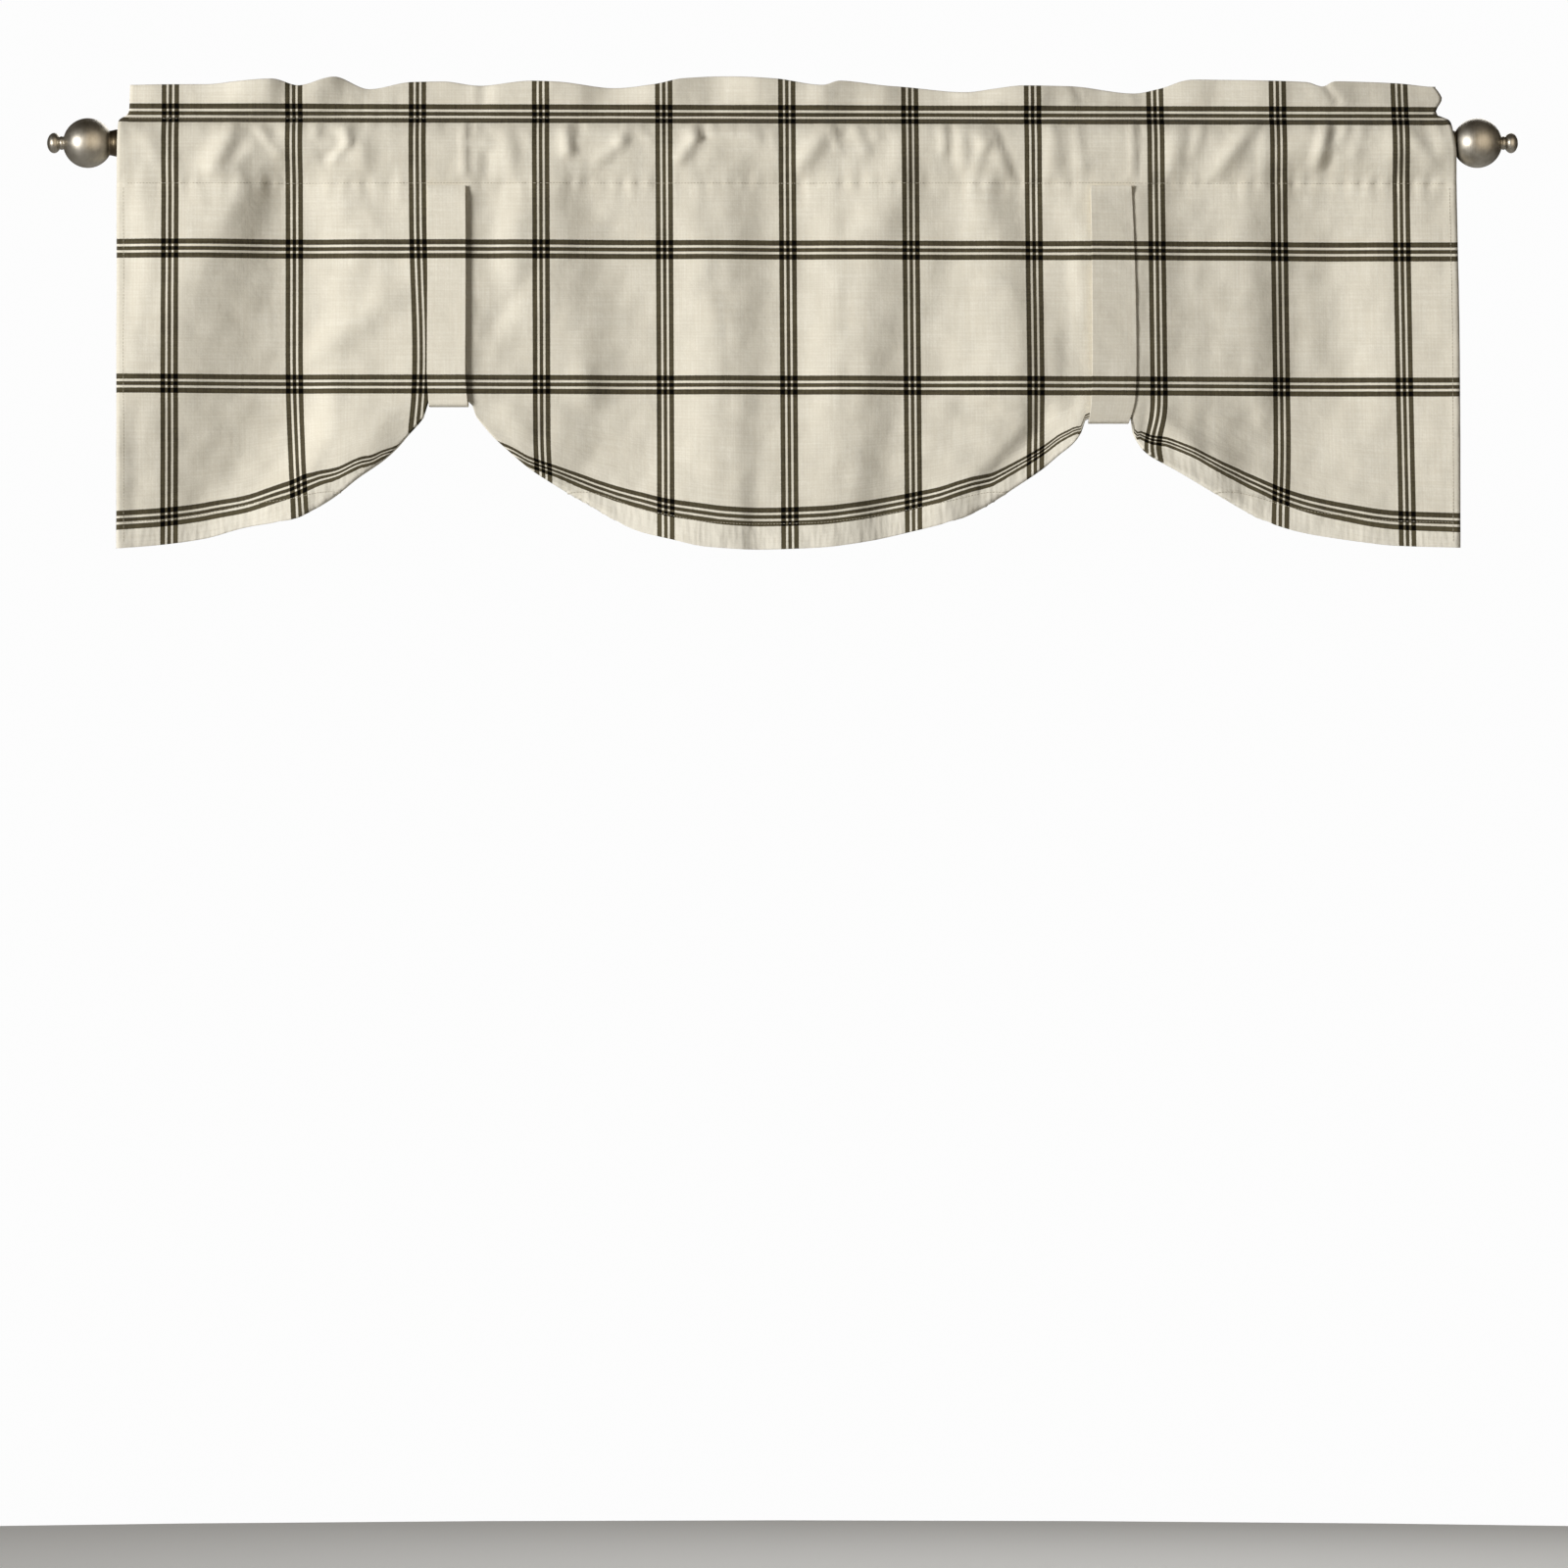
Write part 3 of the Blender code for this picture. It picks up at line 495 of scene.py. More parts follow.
# Crumpling left by packing and handling, and puckers beside the seams: seed,
# how many ripples cross, and their shortest and longest length
CRUMPLE = (3, 16, (22.0, 75.0))
CRUMPLE_HEIGHT = 0.55
PUCKERS = (8, 7, (11.0, 26.0))
PUCKER_HEIGHT = 0.9
PUCKER_SLANT = 0.5         # radians between the steepest ones
PUCKER_REACH = 9.0


def ease(amount):
    """Goes smoothly from 0 at amount 0 to 1 at amount 1: 3 a^2 - 2 a^3."""
    amount = np.clip(amount, 0.0, 1.0)
    return amount * amount * (3.0 - 2.0 * amount)


def through(table, column, at):
    """A curve through a column of a table over its first column: a cubic that never overshoots.

    Its slope at a row is the harmonic mean of the slopes on both sides, or 0
    at a high or low point.
    """
    knots = np.array([row[0] for row in table], dtype=float)
    values = np.array([row[column] for row in table], dtype=float)
    sides = np.diff(values) / np.diff(knots)
    product, total = sides[1:] * sides[:-1], sides[1:] + sides[:-1]
    turning = product <= 0
    means = np.where(turning, 0.0, 2 * product / np.where(turning, 1.0, total))
    slopes = np.concatenate((sides[:1], means, sides[-1:]))
    at = np.clip(at, knots[0], knots[-1])
    left = np.clip(np.searchsorted(knots, at) - 1, 0, len(knots) - 2)
    span = knots[left + 1] - knots[left]
    t = (at - knots[left]) / span
    return (
        values[left] * (1 + 2 * t) * (1 - t) ** 2
        + values[left + 1] * t * t * (3 - 2 * t)
        + span * t * (1 - t) * (slopes[left] * (1 - t) - slopes[left + 1] * t)
    )


def near_straps(x, reach):
    """1 behind a strap, falling to 0 at a distance of reach from its sides."""
    cover = np.zeros_like(x)
    for _, _, left, right in STRAPS:
        distance = np.abs(x - 0.5 * (left + right)) - 0.5 * (right - left) - FLAT_MARGIN
        cover = np.maximum(cover, ease(1.0 - distance / reach))
    return cover


def standing_folds(x, level):
    """The skirt's relief: a smooth step from each ridge or valley to the next."""
    levels = np.arange(len(FOLD_LEVELS))
    at = np.interp(-level, -np.array(FOLD_LEVELS), levels)
    count = len(FOLD_LEVELS)
    tables = [list(zip(levels, fold[:count], fold[count:])) for fold in FOLDS]
    places = [through(table, 1, at) for table in tables]
    heights = [through(table, 2, at) for table in tables]
    relief = np.zeros_like(x) + heights[0]
    for i in range(len(FOLDS) - 1):
        step = ease((x - places[i]) / (places[i + 1] - places[i]))
        relief += (heights[i + 1] - heights[i]) * step
    return relief * (1.0 - near_straps(x, FOLD_FADE))


def creases(table, x, level):
    """Relief of lines: height x exp(-(distance / width)^2), dying out past both ends."""
    relief = np.zeros_like(x)
    for upper_x, upper_z, lower_x, lower_z, width, height in table:
        run, drop = lower_x - upper_x, lower_z - upper_z
        length = math.hypot(run, drop)
        along = ((x - upper_x) * run + (level - upper_z) * drop) / length ** 2
        off = ((x - upper_x) * drop - (level - upper_z) * run) / length
        fade = ease((along + END_FADE) / END_FADE) * ease((1.0 + END_FADE - along) / END_FADE)
        relief += height * fade * np.exp(-((off / width) ** 2))
    return relief


def ripples(seed, count, lengths, x, level, slant=math.pi):
    """A seeded sum of plane waves of random length, direction and phase, about -1 to 1."""
    chance = np.random.default_rng(seed)
    total = np.zeros_like(x)
    for _ in range(count):
        wave = 2 * math.pi / chance.uniform(*lengths)
        heading = chance.uniform(-0.5, 0.5) * slant
        phase = chance.uniform(0.0, 2 * math.pi)
        total += np.sin(wave * (x * math.cos(heading) + level * math.sin(heading)) + phase)
    return total / math.sqrt(count)


def crumpled(x, level):
    """Soft ripples all over, and short upright puckers beside both seams."""
    soft = CRUMPLE_HEIGHT * ripples(*CRUMPLE, x, level)
    gathered = ripples(*PUCKERS, x, level, slant=PUCKER_SLANT)
    beside = sum(np.exp(-np.abs(level - seam) / PUCKER_REACH) for seam in (LOWER_SEAM, UPPER_SEAM))
    return soft + PUCKER_HEIGHT * beside * gathered


def groove(level):
    """1 on a seam's line, falling off beside it as exp(-(distance / width)^2)."""
    seams = (UPPER_SEAM, LOWER_SEAM)
    return sum(np.exp(-(((level - seam) / SEAM_GROOVE_WIDTH) ** 2)) for seam in seams)


def seam_held(level):
    """How much of a crease passes a level: all of it, but for a dip on the lower seam."""
    return 1.0 - SEAM_HELD * np.exp(-(((level - LOWER_SEAM) / SEAM_HOLD) ** 2))


def across(share, level):
    """X of the share of the way from the cloth's left edge to its right edge."""
    left = through(SIDE_EDGES, 1, level)
    return left + (through(SIDE_EDGES, 2, level) - left) * share


def turned_up(x):
    """Length turned up behind the lower edge: spare x ease((spare - from) / (fully - from))."""
    spare = through(LOWER_EDGE, 1, x) - HEM_LEVEL
    return spare * ease((spare - TURNED_FROM) / (TURNED_FULLY - TURNED_FROM))


def hang(x, level):
    """Hung level, depth behind the front, and share b of the way through what is turned up.

    The turned-up length goes up behind the lower edge and down again: level =
    edge + rise x (1 - cos(2 pi b)) / 2 and depth = bundle x b to the power
    BUNDLE_CURVE.
    """
    lower_edge, turned = through(LOWER_EDGE, 1, x), turned_up(x)
    below = np.maximum(TUCK_LEVEL - level, 0.0)
    in_front = TUCK_LEVEL - HEM_LEVEL - turned
    down = np.clip(below / in_front, 0.0, 1.0)
    b = np.clip((below - in_front) / np.maximum(turned, 1.0), 0.0, 1.0)
    bundle = BUNDLE_DEPTH * (1.0 - np.exp(-turned / BUNDLE_GROWTH))
    rise = 0.5 * np.maximum(turned - bundle, 0.0) * 0.5 * (1.0 - np.cos(2 * math.pi * b))
    rise = rise + BUNDLE_LIFT * ease(BUNDLE_LIFT_RATE * b)
    hung = np.maximum(level, TUCK_LEVEL) - down * (TUCK_LEVEL - lower_edge) + rise
    return hung, bundle * b ** BUNDLE_CURVE, b


def skirt_place(share, level):
    """The skirt below the pocket: its standing folds, and lower down what the straps draw up."""
    x = across(share, np.maximum(level, TUCK_LEVEL))
    hung, behind, _ = hang(x, level)
    drop = TUCK_LEVEL - through(LOWER_EDGE, 1, x)
    let_down = TUCK_LEVEL - (TUCK_LEVEL - hung) / drop * (TUCK_LEVEL - HEM_LEVEL)
    as_cut = np.where(hung > TUCK_LEVEL, hung, let_down)
    grown = SEAM_WAVE + (1.0 - SEAM_WAVE) * ease((LOWER_SEAM - as_cut) / SEAM_REACH)
    fine = creases(SKIRT_CREASES, x, hung) + crumpled(x, hung)
    fine = fine + seam_held(level) * creases(POCKET_CREASES, x, hung)
    out = grown * standing_folds(x, as_cut) + fine * (1.0 - near_straps(x, CREASE_FADE))
    out += creases(STRAP_VALLEYS, x, hung)
    y = -SEAM_FORWARD - SEAM_HALF_GAP - out + behind + SEAM_GROOVE * groove(level)
    drift = np.zeros_like(x)
    for middle_x, middle_z, reach_x, reach_z, shift in DRIFTS:
        away = ((x - middle_x) / reach_x) ** 2 + ((hung - middle_z) / reach_z) ** 2
        drift += shift * np.exp(-away)
    return x + drift, y, hung


def cut_level(share, level):
    """Level on the flat cloth of a point of the skirt.

    The check keeps its width where it shows. Upwards from the lower edge come
    the hem's band at full width, its group of lines crowded as EDGE_SHOWN
    says, what bunches up, and from KEPT_BELOW_TUCK under TUCK_LEVEL flat cloth.
    """
    x = across(share, np.maximum(level, TUCK_LEVEL))
    lower_edge, (hung, _, b) = through(LOWER_EDGE, 1, x), hang(x, level)
    shown, crowding = (through(EDGE_SHOWN, column, x) for column in (1, 2))
    foot, head = (line - CHECK_LEAN * x for line in LINES_OVER_HEM)
    above, flat_from = hung - lower_edge, TUCK_LEVEL - KEPT_BELOW_TUCK
    height = flat_from - lower_edge
    room = np.maximum(height - BUNCH_HEIGHT, 1.0)
    band = np.clip(foot - shown, 0.0, BAND_SHARE * room)
    lines = np.minimum((head - np.maximum(shown, foot)) / crowding, room - band)
    bunched = np.maximum(height, BUNCH_HEIGHT) - band - lines
    rest = (flat_from - shown - band - lines * crowding) / bunched
    in_front = shown + np.minimum(above, band) + np.clip(above - band, 0.0, lines) * crowding
    in_front = in_front + np.maximum(above - band - lines, 0.0) * rest
    in_front = np.where(hung > flat_from, hung, in_front)
    return np.where(b > 0.0, shown + (HEM_LEVEL - shown) * b, in_front)


def cut_across(x, level):
    """How far across the flat cloth, at x: the gathers let it spread a little lower down."""
    bow = BOW * (1.0 - ((x - BOW_MIDDLE) / BOW_REACH) ** 2)
    start = FIRST_LINES[0] + FIRST_LINES[1] * level
    spacing = LINES_APART[0] + LINES_APART[1] * level
    return CHECK_ACROSS + (x - bow - start) / spacing * CHECK_REPEAT


def pocket_place(share, level, side):
    """The pocket: half an almond each side of the rod, y = side x depth, gathered and creased."""
    x = across(share, level)
    height = np.where(level > 0, UPPER_SEAM, -LOWER_SEAM)
    roundness = np.where(level > 0, POCKET_ROUNDNESS[1], POCKET_ROUNDNESS[0])
    almond = 1 - (np.abs(level) / height) ** roundness
    depth = SEAM_HALF_GAP + (POCKET_HALF_DEPTH - SEAM_HALF_GAP) * almond
    wave = SEAM_WAVE * standing_folds(x, np.full_like(x, FOLD_LEVELS[0]))
    wave = wave * ease(1.0 - (level - LOWER_SEAM) / POCKET_REACH)
    forward = SEAM_FORWARD * np.clip(level / LOWER_SEAM, 0.0, 1.0)
    between = np.clip((UPPER_SEAM - level) / (UPPER_SEAM - LOWER_SEAM), 0.0, 1.0)
    seam_fade = np.sqrt(np.maximum(np.sin(math.pi * between), 0.0))
    if side < 0:
        fine = seam_held(level) * creases(POCKET_CREASES, x, level) + crumpled(x, level)
        held = ease((LOWER_SEAM + STRAP_HOLD - level) / STRAP_HOLD)
        fine = fine * (1.0 - near_straps(x, CREASE_FADE) * held)
        fine = fine * ease((UPPER_SEAM - level) / POCKET_TOP_FADE)
        relief = seam_fade * creases(GATHERS, x, level) + fine
    else:
        gathered = BACK_GATHERED * creases(GATHERS, x + BACK_SHIFT[0], level)
        relief = seam_fade * (gathered + crumpled(x + BACK_SHIFT[1], level))
    y = -wave - forward + side * (depth + relief - SEAM_GROOVE * groove(level))
    clear = side * np.sqrt(np.maximum(ROD_TOUCH ** 2 - level ** 2, 0.0))
    y = np.where(np.abs(level) < ROD_TOUCH, side * np.maximum(side * y, side * clear), y)
    return x, y, level


def heading_place(share, level, side):
    """The heading: two layers that sway together and part a little between seam and top."""
    up = (level - UPPER_SEAM) / (TOP_OF_CUT - UPPER_SEAM)
    top = through(HEADING_TOP, 1, across(share, np.full_like(level, UPPER_SEAM))) - SEAM_HALF_GAP
    hung = UPPER_SEAM + (top - UPPER_SEAM) * up
    x = across(share, hung)
    fine = (crumpled(x, hung) + creases(HEADING_CREASES, x, hung)) * np.sqrt(np.clip(up, 0.0, 1.0))
    sway = through(HEADING_SWAY, 1, x) * up * (2.0 - up) + fine
    puff = SEAM_HALF_GAP + HEADING_PUFF * np.sin(math.pi * up) - SEAM_GROOVE * groove(level)
    return x, -sway + side * puff, hung


def turn_place(share, turn):
    """The fold at the heading's top: y = -cos(turn), z = sin(turn), times half the gap."""
    x, y, z = heading_place(share, np.full_like(share, TOP_OF_CUT), 0.0)
    return x, y - SEAM_HALF_GAP * np.cos(turn), z + SEAM_HALF_GAP * np.sin(turn)


def cloth_place(share, along):
    """Where a point of the cut cloth hangs.

    along is its level up the front, then on over the top and down the back.
    """
    back = 2 * TOP_OF_CUT - along
    rows = [
        (along < LOWER_SEAM, skirt_place(share, np.minimum(along, LOWER_SEAM))),
        (along < UPPER_SEAM, pocket_place(share, np.clip(along, LOWER_SEAM, UPPER_SEAM), -1)),
        (along < TOP_OF_CUT, heading_place(share, np.clip(along, UPPER_SEAM, TOP_OF_CUT), -1)),
        (back > UPPER_SEAM, heading_place(share, np.clip(back, UPPER_SEAM, TOP_OF_CUT), 1)),
        (back > LOWER_SEAM, pocket_place(share, np.clip(back, LOWER_SEAM, UPPER_SEAM), 1)),
    ]
    x, y, _ = pocket_place(share, np.full_like(share, LOWER_SEAM), 1)
    tail = (x, y + TAIL_LIFT, np.minimum(back, LOWER_SEAM))
    here = [row[0] for row in rows]
    return [np.select(here, [row[1][i] for row in rows], tail[i]) for i in range(3)]


def steps(start, *stretches):
    """Levels from start on: each stretch is (its end, how many steps), and the last is closed."""
    parts = []
    for end, count in stretches:
        parts.append(np.linspace(start, end, count, endpoint=False))
        start = end
    return np.concatenate(parts + [[start]])


# Rows of points along the cloth, close at the hem's top and beside the seams
COLUMNS = 340
TURN_STEPS = 6
EDGE_ROW = 32.0            # length of the cut below the row that follows the lower edge
SEAM_BESIDE = 6.0
BACK_SEAM = 2 * TOP_OF_CUT - UPPER_SEAM
FRONT_ALONG = steps(
    HEM_LEVEL, (HEM_LEVEL + 3, 2), (HEM_TOP - 4, 4), (HEM_TOP + 4, 5), (TUCK_LEVEL, 26),
    (LOWER_SEAM - SEAM_BESIDE, 33), (LOWER_SEAM + SEAM_BESIDE, 6),
    (UPPER_SEAM - SEAM_BESIDE, 16), (UPPER_SEAM + SEAM_BESIDE, 6), (TOP_OF_CUT, 8),
)
BACK_ALONG = steps(
    TOP_OF_CUT, (BACK_SEAM - 3, 6), (BACK_SEAM + 3, 3), (RAW_EDGE - 7, 12), (RAW_EDGE, 3),
)

shares = np.linspace(0.0, 1.0, COLUMNS + 1)
front_share, front_along = np.meshgrid(shares, FRONT_ALONG[:-1])
# The rows close up or spread so that one of them runs along the lower edge
turned = np.maximum(turned_up(across(shares, TUCK_LEVEL)), EDGE_ROW)
whole = TUCK_LEVEL - HEM_LEVEL
shown = TUCK_LEVEL - (TUCK_LEVEL - front_along) / (whole - EDGE_ROW) * (whole - turned)
hidden = HEM_LEVEL + (front_along - HEM_LEVEL) / EDGE_ROW * turned
drawn_up = np.where(front_along > HEM_LEVEL + EDGE_ROW, shown, hidden)
front_along = np.where(front_along > TUCK_LEVEL, front_along, drawn_up)
turn_share, turn = np.meshgrid(shares, np.linspace(0.0, math.pi, TURN_STEPS + 1))
back_share, back_along = np.meshgrid(shares, BACK_ALONG[1:])
parts = (cloth_place(front_share, front_along), turn_place(turn_share, turn),
         cloth_place(back_share, back_along))
cloth_x, cloth_y, cloth_z = (np.vstack([part[i] for part in parts]) for i in range(3))

share = np.vstack((front_share, turn_share, back_share))
along = np.vstack((front_along, np.full_like(turn, TOP_OF_CUT), back_along))
undrifted = across(share, np.maximum(along, TUCK_LEVEL))
cut_u = cut_across(np.where(along < LOWER_SEAM, undrifted, cloth_x), cloth_z)
skirt_v = cut_level(front_share, np.minimum(front_along, LOWER_SEAM))
skirt_v = np.vstack((skirt_v, np.zeros_like(turn), np.zeros_like(back_along)))
cut_v = np.where(along < TUCK_LEVEL, skirt_v, along)
# The ruffle's top waves because more or less cloth is turned over, so the
# check runs level below it
top = turn_place(shares, 0.5 * math.pi)[2]
heading_v = np.where(along <= TOP_OF_CUT, cloth_z, 2 * top - cloth_z)
headed = np.abs(along - TOP_OF_CUT) < TOP_OF_CUT - UPPER_SEAM
cut_v = np.where(headed, heading_v, cut_v) + CHECK_LEAN * cloth_x
cloth_mesh = laid_surface("valance_cloth_woven", cloth_x, cloth_y, cloth_z, cut=(cut_u, cut_v))

# The check's groups of three lines, on the flat cloth: for the three lines of
# a group, where the dark starts and ends from the group's middle
MIDDLE_LINE = 2.0
OUTER_LINE = (4.4, 9.75)
LINE_EDGE = 0.5            # width over which the dark fades out
RAGGED_EDGE = 0.0006       # and how far it wanders with the threads, in metres
LINES_SPAN = 0.01          # metres from a group's middle to past its last line
UNEVEN_SPAN = 2.7          # what the cloth's unevenness adds up to at most
HEM_FADE = 4.0             # width over which the hem's band begins
HEM_PALENESS = 0.38        # the hem's three layers let less of the dark through
HEM_PUCKERS = 1.7
THREAD = 1.5               # threads are 0.5 mm apart, drawn coarser so that they show
PLAIN, DYED = "#000000", "#ffffff"
LAYER_STEP = 1.5           # width over which a hem's layers begin


def woven_cotton(name, hem_top):
    """Plain-woven cotton, yarn-dyed with a check: matt, faintly fuzzy, slubbed along both threads.

    Everything is drawn on the cut cloth's own UV map, in metres. The check
    is dark where the distance to the middle of the nearest group of lines
    falls within one of its three lines, and darker where two lines cross.
    """
    material, tree, shader = blank_material(name)
    cut = add(tree, "UVMap", {"uv_map": "cut"})
    halves = add(tree, "SeparateXYZ", Vector=cut)
    plus, minus, times, blend, wave, fold = (
        {"operation": kind}
        for kind in ("ADD", "SUBTRACT", "MULTIPLY", "MULTIPLY_ADD", "SINE", "PINGPONG")
    )
    # Unevenness of the cloth: cells per metre across and up, turned by, and how many octaves
    uneven = {}
    for part, scale, turned_by, detail in (
        ("thread edges", (900, 900), 0.0, 2), ("weft slubs", (14, 520), 0.0, 3),
        ("warp slubs", (520, 14), 0.0, 3), ("clouds", (26, 26), 0.0, 4),
        ("flecks", (420, 420), 0.0, 2), ("crumple", (55, 55), 0.0, 3),
        ("hem puckers", (110, 34), 0.5, 1),
    ):
        place = add(tree, "Mapping", Vector=cut, Rotation=(0, 0, turned_by), Scale=scale + (1,))
        uneven[part] = add(tree, "TexNoise", {"noise_dimensions": "2D"}, Vector=place, Scale=1.0,
                           Detail=detail)

    ragged = add(tree, "Math", minus, _0=uneven["thread edges"], _1=0.5)
    stops = []
    for edge, before, after in (
        (MIDDLE_LINE, DYED, PLAIN), (OUTER_LINE[0], PLAIN, DYED), (OUTER_LINE[1], DYED, PLAIN),
    ):
        for at, shade in ((edge - LINE_EDGE / 2, before), (edge + LINE_EDGE / 2, after)):
            stops.append((at * MM / LINES_SPAN, shade))
    masks = []
    for axis, middle in (("X", CHECK_ACROSS), ("Y", CHECK_UP)):
        shifted = add(tree, "Math", minus, _0=halves.outputs[axis], _1=middle * MM)
        distance = add(tree, "Math", fold, _0=shifted, _1=0.5 * CHECK_REPEAT * MM)
        distance = add(tree, "Math", blend, _0=ragged, _1=RAGGED_EDGE, _2=distance)
        reach = add(tree, "Math", times, _0=distance, _1=1.0 / LINES_SPAN)
        masks.append(add(tree, "ValToRGB", stops=stops, Fac=reach))
    either = add(tree, "Math", plus, _0=masks[0], _1=masks[1])
    both = add(tree, "Math", minus, _0=either, _1=1.0)

    band = add(tree, "MapRange", SMOOTH, Value=halves.outputs["Y"], From_Min=hem_top * MM,
               From_Max=(hem_top - HEM_FADE) * MM)
    slubs = add(tree, "Math", plus, _0=uneven["weft slubs"], _1=uneven["warp slubs"])
    mixed = slubs
    for part, amount in ((uneven["clouds"], 0.5), (uneven["flecks"], 0.6), (band, HEM_PALENESS)):
        mixed = add(tree, "Math", blend, _0=part, _1=amount, _2=mixed)
    mixed = add(tree, "Math", times, _0=mixed, _1=1.0 / UNEVEN_SPAN)
    cream = add(tree, "ValToRGB", Fac=mixed,
                stops=((0.42, "#ebe3d0"), (0.57, "#efe8d6"), (0.75, "#f8f2e2")))
    line = add(tree, "ValToRGB", stops=((0.42, "#3d3626"), (0.66, "#574f39")), Fac=mixed)
    tone = add(tree, "Mix", COLOUR, _0=either, _6=cream, _7=line).outputs[2]
    tone = add(tree, "Mix", COLOUR, _0=both, _6=tone, _7=linear("#0c0a07")).outputs[2]

    # Threads that cross: sin x sin across and up, and the slubs stand out of them
    waves = []
    for axis in ("X", "Y"):
        phase = add(tree, "Math", times, _0=halves.outputs[axis], _1=2 * math.pi / (THREAD * MM))
        waves.append(add(tree, "Math", wave, _0=phase))
    weave = add(tree, "Math", times, _0=waves[0], _1=waves[1])
    threads = add(tree, "Math", blend, _0=weave, _1=0.35, _2=slubs)
    weave_bump = add(tree, "Bump", Strength=0.22, Distance=0.0003, Height=threads)
    # Hem puckers slant across the turned-up band, about 9 mm apart
    in_band = add(tree, "Math", times, _0=uneven["hem puckers"], _1=band)
    soft = add(tree, "Math", blend, _0=in_band, _1=HEM_PUCKERS, _2=uneven["crumple"])
    bump = add(tree, "Bump", Strength=0.6, Distance=0.0012, Height=soft, Normal=weave_bump)
    # Densely dyed crossings shine and fuzz less
    shine, fuzz = (
        add(tree, "MapRange", Value=both, To_Min=plain, To_Max=0.0) for plain in (0.3, 0.12)
    )
    feed(shader, Base_Color=tone, Normal=bump, Roughness=0.88, Specular_IOR_Level=shine,
         Sheen_Weight=fuzz, Sheen_Roughness=0.5)
    return material


def thicken(piece, thickness):
    """Gives a sheet its thickness, half of it to each side."""
    wall = piece.modifiers.new("thickness", "SOLIDIFY")
    wall.thickness = thickness * MM
    wall.offset = 0.0
    return wall


cotton = woven_cotton("woven cotton check", HEM_TOP)
cloth = piece_of("valance_cloth_woven", cloth_mesh, cotton)
layers = cloth.vertex_groups.new(name="layers")
doubled = np.maximum(
    ease((HEM_TOP + 0.5 - along) / LAYER_STEP),
    ease((SIDE_HEM_WIDTH + 1.0 - np.minimum(cut_u, CUT_WIDTH - cut_u)) / LAYER_STEP),
)
for weight in (0.0, 0.25, 0.5, 0.75, 1.0):
    layers.add(np.flatnonzero(np.abs(doubled - weight) <= 0.125).tolist(), weight, "REPLACE")
wall = thicken(cloth, HEM_LAYERS)
wall.vertex_group = "layers"
wall.thickness_vertex_group = LAYER / HEM_LAYERS
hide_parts("valance_cloth")

# ---- Stitching ----
# Cream cotton lockstitch: a row along each side of the pocket, along the top
# of the hem and along both side hems.
STITCH_LENGTH = 2.6
STITCH_PITCH = 3.5
STITCH_RADIUS = 0.28
STITCH_SINK = 0.25         # how deep the thread is pulled into the cloth
# Rings of a stitch: place along it and radius, as shares of its whole ones
STITCH_RINGS = ((-0.5, 0.35), (-0.34, 1.0), (0.34, 1.0), (0.5, 0.35))
STITCH_SIDES = 6
FINE_STEP = 0.5            # the cloth's directions are read over twice this
POCKET_ROW_INSET = 4.0     # from the side edges
HEM_ROW_INSET = 2.0        # from a hem's inner edge
SIDE_ROW_ENDS = (6.0, 4.0)           # from the hem's fold, and from the pocket's seam


def stitches(name, middles, directions, normals):
    """Joined capsules, one for each middle: four rings of six points, narrow at both ends."""
    side = np.cross(directions, normals)
    ring_at, ring_radius = np.array(STITCH_RINGS).T
    angle = np.linspace(0.0, 2 * math.pi, STITCH_SIDES, endpoint=False)
    spread = side[:, None, None] * np.cos(angle)[None, None, :, None]
    spread = spread + normals[:, None, None] * np.sin(angle)[None, None, :, None]
    lengthways = directions[:, None, None] * (ring_at * STITCH_LENGTH)[None, :, None, None]
    points = middles[:, None, None] + lengthways
    points = points + spread * (ring_radius * STITCH_RADIUS)[None, :, None, None]
    start = np.arange(len(middles))[:, None] * ring_at.size * STITCH_SIDES
    here = np.arange(STITCH_SIDES)
    there = (here + 1) % STITCH_SIDES
    quads = np.stack((here, there, there + STITCH_SIDES, here + STITCH_SIDES), -1)
    walls = np.concatenate([quads + STITCH_SIDES * ring for ring in range(ring_at.size - 1)])
    walls = (walls[None] + start[:, None]).reshape(-1, 4)
    caps = np.stack((here[::-1], here + STITCH_SIDES * (ring_at.size - 1)))
    caps = (caps[None] + start[:, None]).reshape(-1, STITCH_SIDES)
    mesh = bpy.data.meshes.new(name)
    mesh.from_pydata((points.reshape(-1, 3) * MM).tolist(), [], walls.tolist() + caps.tolist())
    mesh.shade_smooth()
    return mesh


def sewn_row(place, first, last):
    """Middles, directions and outward normals of stitches along the flat line from first to last.

    place gives the hung point of a flat one; directions and normals come from
    small differences along the line and across it.
    """
    first, last = np.array(first, dtype=float), np.array(last, dtype=float)
    count = int(np.hypot(*(last - first)) / STITCH_PITCH)
    spots = first + (last - first) * ((np.arange(count) + 0.5) / count)[:, None]
    step = (last - first) / np.hypot(*(last - first)) * FINE_STEP
    turn = np.array((-step[1], step[0]))
    ahead = place(spots + step) - place(spots - step)
    aside = place(spots + turn) - place(spots - turn)
    ahead /= np.linalg.norm(ahead, axis=1)[:, None]
    normal = np.cross(ahead, aside)
    normal /= np.linalg.norm(normal, axis=1)[:, None]
    return place(spots), ahead, normal


def on_cloth(spots):
    """Hung points of flat (u, v) spots on the cloth."""
    return np.concatenate(cloth_place(spots[:, :1] / CUT_WIDTH, spots[:, 1:]), axis=1)


